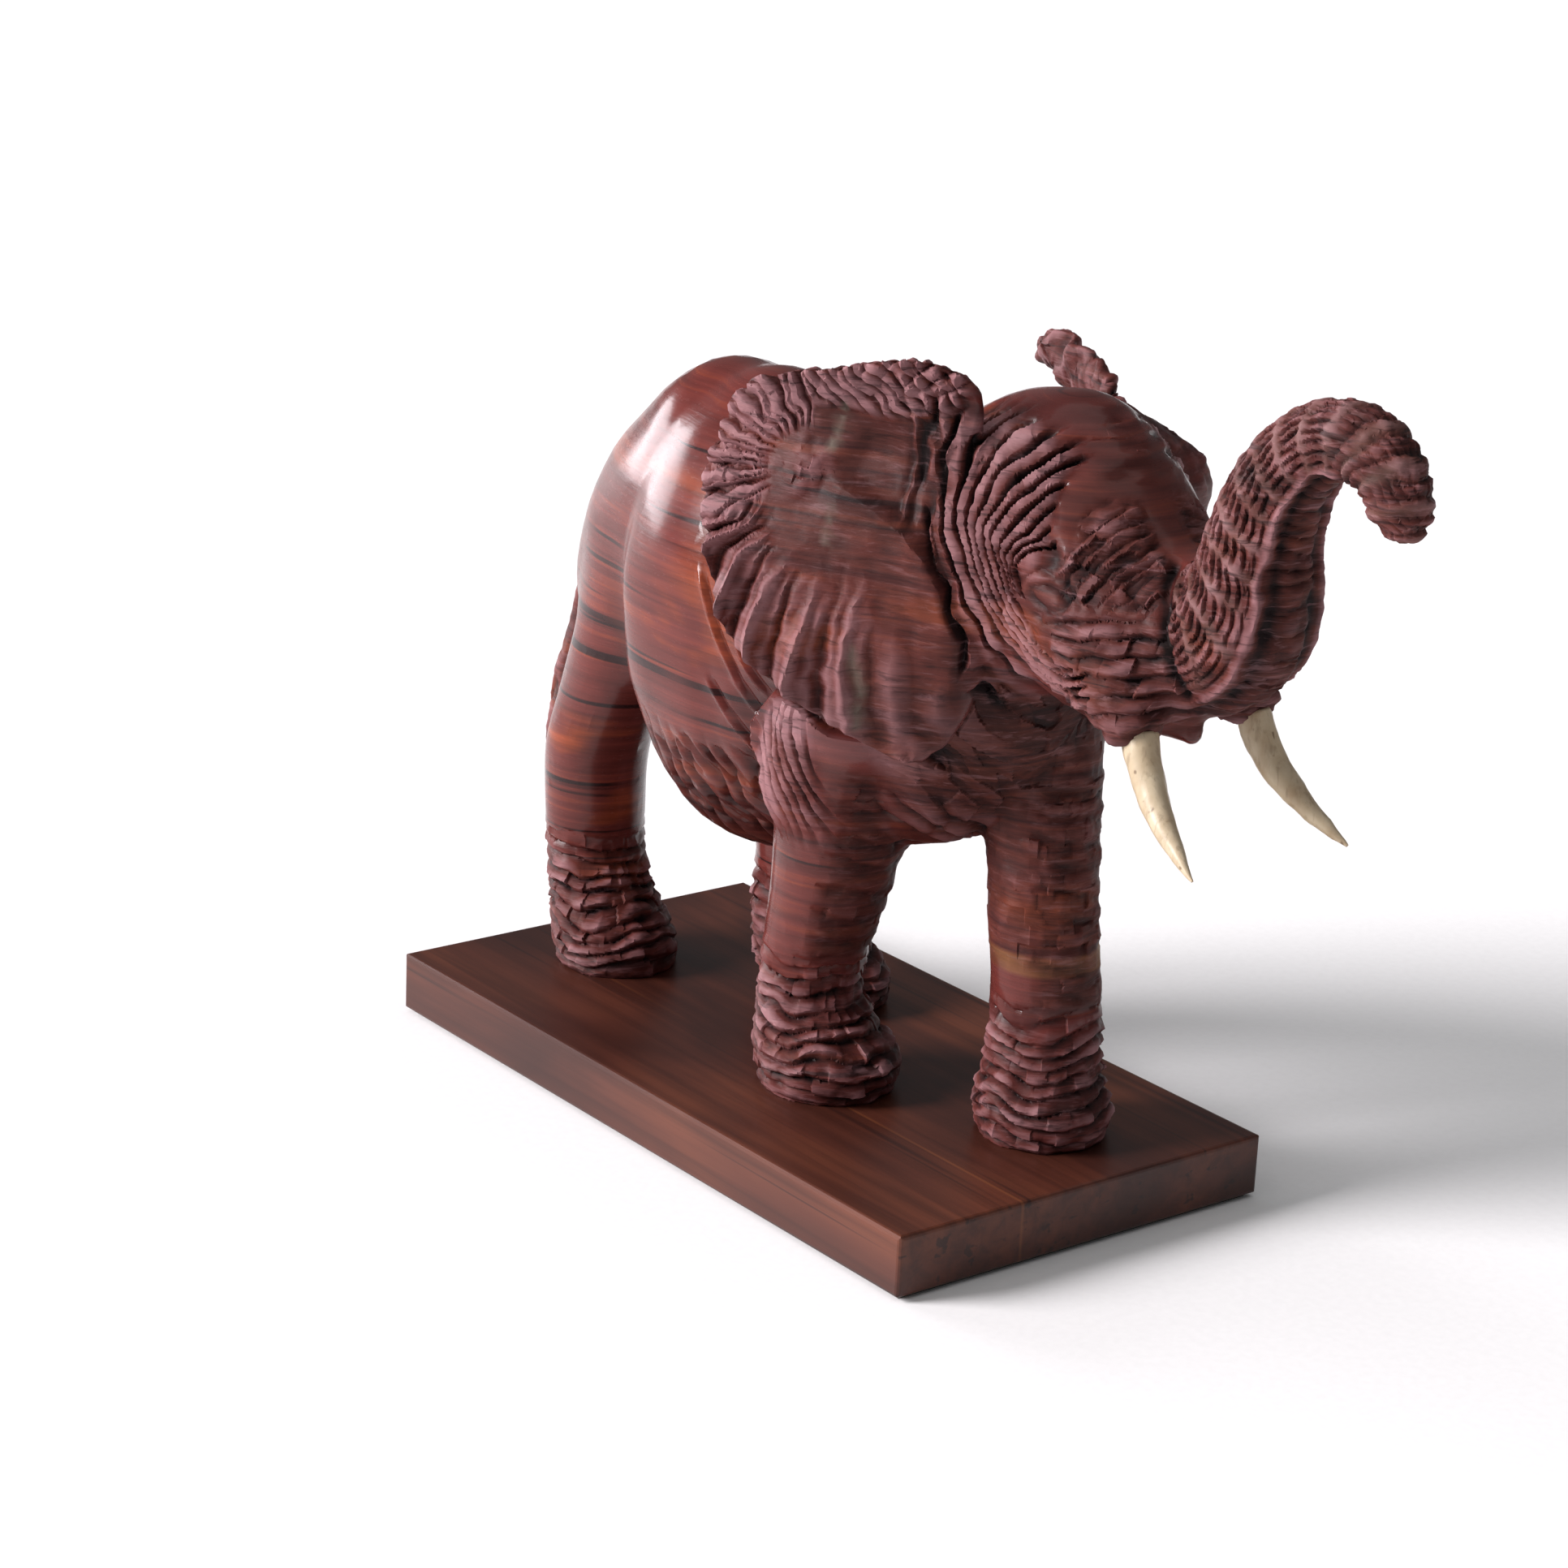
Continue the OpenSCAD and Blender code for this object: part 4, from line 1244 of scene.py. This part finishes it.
@dataclass(frozen=True)
class CarvedWood:
    """Oiled red hardwood: polished on the body, tooled on the head, ears and feet."""

    deep: tuple = tone(66, 29, 27)
    red: tuple = tone(104, 47, 42)
    orange: tuple = tone(138, 64, 38)
    line: tuple = tone(30, 18, 19)
    tooled: tuple = tone(72, 40, 38)
    # the brown of the painted shade
    shade_brown: tuple = tone(82, 42, 33)
    # the near black of painted shade in the cut hollows, also used for dark nicks
    nick_and_shade_dark: tuple = tone(20, 11, 12)
    # the pale pink of painted highlights on the cut crests, also used for light nicks
    highlight_and_nick_pink: tuple = tone(160, 118, 122)
    vein: tuple = tone(118, 112, 100)
    ochre: tuple = tone(150, 108, 62)

    def material(self) -> bpy.types.Material:
        """Builds the wood from level grain, dark lines, painted shade on the marked faces and in the cut
        hollows, and painted highlights on the cut crests.
        """
        b = Bench("carved_wood")
        relief, matte, painted_shade = b.mark("relief"), b.mark("matte"), b.mark("painted_shade")
        zones = b.noise((9.0, 9.0, 26.0), 3.0, 0.55, 0.6)
        streaks = b.noise((9.0, 9.0, 330.0), 5.0, 0.62, 0.25)
        wood = b.blend_stops(b.grade(zones, 0.33, 0.68), [(0.0, self.deep), (0.4, self.red), (0.75, self.red),
                                                          (1.0, self.orange)])
        wood = b.mix(b.grade(streaks, 0.42, 0.66, 0.0, 0.6), wood, self.deep)
        wood = b.mix(b.grade(streaks, 0.44, 0.30, 0.0, 0.55), wood, self.orange)
        lines = b.noise((5.0, 5.0, 240.0), 2.0, 0.5, 0.3)
        patches = b.noise((16.0, 16.0, 22.0), 2.0, 0.5)
        drawn = b.sum("MULTIPLY", b.grade(lines, 0.63, 0.68), b.grade(patches, 0.44, 0.56, 0.0, 0.9))
        wood = b.mix(drawn, wood, self.line)
        dull = b.mix(b.grade(streaks, 0.36, 0.64, 0.15, 0.75), self.tooled, wood)
        wood = b.mix(b.sum("MULTIPLY", matte, 0.7), wood, dull)
        # painted shade: darker brown wherever the painted-shade mark is set
        shaded_wood = b.mix(b.grade(streaks, 0.42, 0.66), self.shade_brown, self.line)
        wood = b.mix(b.sum("MULTIPLY", painted_shade, b.grade(zones, 0.62, 0.42, 0.55, 0.8)), wood, shaded_wood)
        # painted shade: the cut hollows, low in the relief mark, turn near black
        low = b.grade(relief, 0.3, -1.5, 0.0, 0.97)
        wood = b.mix(b.sum("MULTIPLY", low, b.grade(matte, 0.0, 0.6, 0.45, 1.0)), wood, self.nick_and_shade_dark)
        # painted highlight: the cut crests, high in the relief mark, turn pale pink, less so where shade is
        # painted
        high = b.sum("MULTIPLY", b.grade(relief, 0.2, 1.5, 0.0, 0.6), b.grade(matte, 0.0, 0.7, 0.15, 1.0))
        wood = b.mix(b.sum("MULTIPLY", high, b.grade(painted_shade, 0.0, 1.0, 1.0, 0.3)), wood, self.highlight_and_nick_pink)
        wood = b.mix(b.sum("MULTIPLY", b.mark("vein"), 0.55), wood, self.vein)
        band = b.sum("ABSOLUTE", b.sum("SUBTRACT", b.axis(2), 0.0885))
        ochre = b.sum("MULTIPLY", b.grade(band, 0.0042, 0.0026), b.grade(b.axis(0), 0.080, 0.084))
        wood = b.mix(b.sum("MULTIPLY", ochre, b.grade(patches, 0.42, 0.54, 0.1, 0.65)), wood, self.ochre)
        pores = b.noise((260.0, 260.0, 900.0), 3.0, 0.6)
        nicks = b.noise((60.0, 60.0, 420.0), 4.0, 0.65, 0.6)
        # random dark and light nicks in the tooled parts, in the same two colours
        wood = b.mix(b.sum("MULTIPLY", matte, b.grade(nicks, 0.53, 0.66, 0.0, 0.7)), wood, self.nick_and_shade_dark)
        wood = b.mix(b.sum("MULTIPLY", matte, b.grade(nicks, 0.45, 0.30, 0.0, 0.32)), wood, self.highlight_and_nick_pink)
        surface = b.sum("ADD", b.sum("MULTIPLY", streaks, 0.5),
                        b.sum("MULTIPLY", b.sum("ADD", pores, nicks), b.grade(matte, 0.0, 1.0, 0.08, 0.8)))
        b.bump(surface, 0.4, 0.0007)
        rough = b.sum("ADD", b.grade(matte, 0.0, 1.0, 0.24, 0.60), b.grade(pores, 0.3, 0.7, -0.04, 0.05))
        rough = b.sum("ADD", rough, b.sum("MULTIPLY", painted_shade, 0.12))
        return b.finish(wood, rough, Coat_Weight=b.grade(matte, 0.0, 0.35, 0.3, 0.0), Coat_Roughness=0.16,
                        Specular_IOR_Level=0.15)


@dataclass(frozen=True)
class PlinthWood:
    """Dark stained board under satin varnish, its grain along the length."""

    name: str
    dark: tuple = tone(48, 23, 18)
    base: tuple = tone(80, 41, 30)
    warm: tuple = tone(104, 56, 38)
    glue: tuple = tone(140, 82, 48)

    def material(self) -> bpy.types.Material:
        """Builds the board's wood from long streaks."""
        b = Bench(self.name)
        streaks = b.noise((5.0, 130.0, 160.0), 5.0, 0.6, 0.4)
        zones = b.noise((6.0, 16.0, 22.0), 3.0, 0.5, 0.5)
        wood = b.blend_stops(b.grade(zones, 0.32, 0.70),
                             [(0.0, self.dark), (0.5, self.base), (1.0, self.warm)])
        wood = b.mix(b.grade(streaks, 0.40, 0.66, 0.0, 0.6), wood, self.dark)
        lines = b.noise((3.0, 190.0, 260.0), 2.0, 0.5, 0.2)
        wood = b.mix(b.grade(lines, 0.63, 0.70, 0.0, 0.7), wood, tone(34, 19, 18))
        seam = b.grade(b.sum("ABSOLUTE", b.sum("ADD", b.axis(1), 0.028)), 0.0009, 0.0002, 0.0, 0.35)
        wood = b.mix(b.sum("MULTIPLY", seam, b.grade(zones, 0.4, 0.55)), wood, self.glue)
        b.bump(b.sum("ADD", streaks, b.sum("MULTIPLY", lines, 0.5)), 0.18, 0.0005)
        rough = b.grade(zones, 0.3, 0.7, 0.36, 0.46)
        return b.finish(wood, rough, Coat_Weight=0.2, Coat_Roughness=0.25, Specular_IOR_Level=0.25)


@dataclass(frozen=True)
class Bone:
    """Pale bone, scraped to flats, with brown flecks."""

    pale: tuple = tone(196, 180, 152)
    cream: tuple = tone(170, 148, 118)
    fleck: tuple = tone(104, 78, 54)

    def material(self) -> bpy.types.Material:
        """Builds the bone from soft clouds, streaks and flecks."""
        b = Bench("bone")
        cloud = b.noise((90.0, 90.0, 60.0), 4.0, 0.55, 0.4)
        streak = b.noise((420.0, 420.0, 90.0), 4.0, 0.6, 0.5)
        colour = b.mix(b.grade(cloud, 0.35, 0.65), self.pale, self.cream)
        colour = b.mix(b.grade(streak, 0.52, 0.72, 0.0, 0.45), colour, self.fleck)
        spots = b.noise((330.0, 330.0, 230.0), 1.0, 0.5)
        colour = b.mix(b.grade(spots, 0.70, 0.76, 0.0, 0.75), colour, self.fleck)
        b.bump(streak, 0.25, 0.0004)
        return b.finish(colour, b.grade(streak, 0.3, 0.7, 0.36, 0.5), Subsurface_Weight=0.15,
                        Subsurface_Radius=(0.004, 0.003, 0.002))


@dataclass(frozen=True)
class Steel:
    """Bright zinc-plated steel with faint turning marks."""

    def material(self) -> bpy.types.Material:
        """Builds the plated steel."""
        b = Bench("screw_steel")
        marks = b.noise((120.0, 120.0, 5200.0), 2.0, 0.5)
        colour = b.mix(b.grade(marks, 0.35, 0.65), tone(188, 188, 186), tone(150, 150, 152))
        b.bump(marks, 0.15, 0.0001)
        return b.finish(colour, b.grade(marks, 0.3, 0.7, 0.24, 0.38), Metallic=1.0)


@dataclass(frozen=True)
class Felt:
    """Dark green pressed felt."""

    def material(self) -> bpy.types.Material:
        """Builds the felt from matted fibres."""
        b = Bench("felt")
        fibre = b.noise((900.0, 900.0, 900.0), 4.0, 0.7, 1.5)
        cloud = b.noise((60.0, 60.0, 60.0), 3.0, 0.5)
        colour = b.mix(b.grade(fibre, 0.35, 0.65), tone(30, 48, 36), tone(52, 74, 58))
        colour = b.mix(b.grade(cloud, 0.4, 0.7, 0.0, 0.4), colour, tone(24, 38, 30))
        b.bump(fibre, 0.6, 0.0006)
        return b.finish(colour, 0.95, Sheen_Weight=0.4, Sheen_Roughness=0.5)


@dataclass(frozen=True)
class Backdrop:
    """Plain pale paper under the object."""

    def material(self) -> bpy.types.Material:
        """Builds the paper."""
        b = Bench("paper")
        tooth = b.noise((300.0, 300.0, 300.0), 3.0, 0.6)
        colour = b.mix(b.grade(tooth, 0.3, 0.7), tone(250, 250, 250), tone(246, 246, 246))
        return b.finish(colour, 0.9)


# ---------------------------------------------------------------- studio


@dataclass(frozen=True)
class Studio:
    """A white floor, large soft lights and the camera."""

    azimuth: float = 52.01
    elevation: float = 18.15
    roll: float = 2.62
    lens: float = 90.14
    stand: tuple[float, float, float] = (1.0335, -0.8260, 0.5540)

    def camera(self) -> bpy.types.Object:
        """Places the camera."""
        az, el, roll = (math.radians(a) for a in (self.azimuth, self.elevation, self.roll))
        back = np.array([math.sin(az) * math.cos(el), -math.cos(az) * math.cos(el), math.sin(el)])
        right = np.cross(-back, (0.0, 0.0, 1.0))
        right /= np.linalg.norm(right)
        up = np.cross(right, -back)
        turned_right = math.cos(roll) * right + math.sin(roll) * up
        turned_up = -math.sin(roll) * right + math.cos(roll) * up
        data = bpy.data.cameras.new("camera")
        data.lens = self.lens
        data.sensor_width = 36.0
        data.clip_start, data.clip_end = 0.05, 50.0
        camera = linked("camera", data)
        matrix = Matrix.Identity(4)
        for axis, column in enumerate((turned_right, turned_up, back, self.stand)):
            for row in range(3):
                matrix[row][axis] = column[row]
        camera.matrix_world = matrix
        bpy.context.scene.camera = camera
        return camera

    def light(self, name: str, way: tuple[float, float, float], spread: float, strength: float,
              tint: tuple[float, float, float] = (1.0, 1.0, 1.0)) -> None:
        """Hangs a far soft light.

        Args:
            name: The light's name.
            way: The direction that it stands in, from the object.
            spread: How wide it looks from the object, in degrees.
            strength: How strongly it lights a face turned to it.
            tint: Its colour.
        """
        data = bpy.data.lights.new(name, "SUN")
        data.angle = math.radians(spread)
        data.energy = strength
        data.color = tint
        lamp = linked(name, data)
        lamp.rotation_euler = Vector(way).to_track_quat("Z", "Y").to_euler()

    def build(self) -> None:
        """Sets up the floor, the world, the lights and the camera."""
        half = 14.0
        mesh = bpy.data.meshes.new("floor")
        corners = [(-half, -half, 0), (half, -half, 0), (half, half, 0), (-half, half, 0)]
        mesh.from_pydata(corners, [], [(0, 1, 2, 3)])
        mesh.materials.append(Backdrop().material())
        floor = linked("floor", mesh)
        world = bpy.data.worlds.new("studio")
        world.use_nodes = True
        world.node_tree.nodes["Background"].inputs[0].default_value = (0.96, 0.97, 1.0, 1.0)
        world.node_tree.nodes["Background"].inputs[1].default_value = 0.14
        bpy.context.scene.world = world
        self.light("window", (-0.46, -0.84, 0.46), 26.0, 5.2, (1.0, 0.955, 0.975))
        self.light("side", (-0.97, -0.22, 0.14), 30.0, 1.9, (1.0, 0.96, 1.0))
        self.light("ceiling", (0.1, -0.1, 1.0), 80.0, 0.7)
        self.camera()
        bpy.context.scene.view_settings.view_transform = "Standard"


# ---------------------------------------------------------------- the whole piece


def dress(piece: bpy.types.Object, material: bpy.types.Material) -> None:
    """Gives a new piece its one material and its ride."""
    piece.data.materials.clear()
    piece.data.materials.append(material)
    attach(piece, "root")


def coat(node: str, material: bpy.types.Material) -> None:
    """Gives a part that keeps its drawn shape its one material."""
    materials = bpy.data.objects[node].data.materials
    materials.clear()
    materials.append(material)
    log.info("%s: drawn shape, %s", node, material.name)


def main() -> None:
    """Builds the studio and every piece in order, and reports each."""
    logging.basicConfig(level=logging.INFO, format="%(message)s")
    Studio().build()
    carving = ElephantCarving().build()
    dress(carving, CarvedWood().material())
    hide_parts("elephant_carving")
    bone = Bone().material()
    for side, node in ((RIGHT, "tusk_right"), (LEFT, "tusk_left")):
        tusk = Tusk(side).build(bone)
        dress(tusk, bone)
        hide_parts(node)
        log.info("%s: %d faces", tusk.name, len(tusk.data.polygons))
    felt = FeltSheet().build()
    dress(felt, Felt().material())
    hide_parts("felt_sheet")
    log.info("%s: %d faces", felt.name, len(felt.data.polygons))
    coat("base_board_right", PlinthWood("board_wood_right").material())
    coat("base_board_left", PlinthWood("board_wood_left").material())
    steel = Steel().material()
    for corner in ("front_right", "front_left", "rear_right", "rear_left"):
        coat(f"foot_screw_{corner}", steel)


if __name__ == "__main__":
    main()
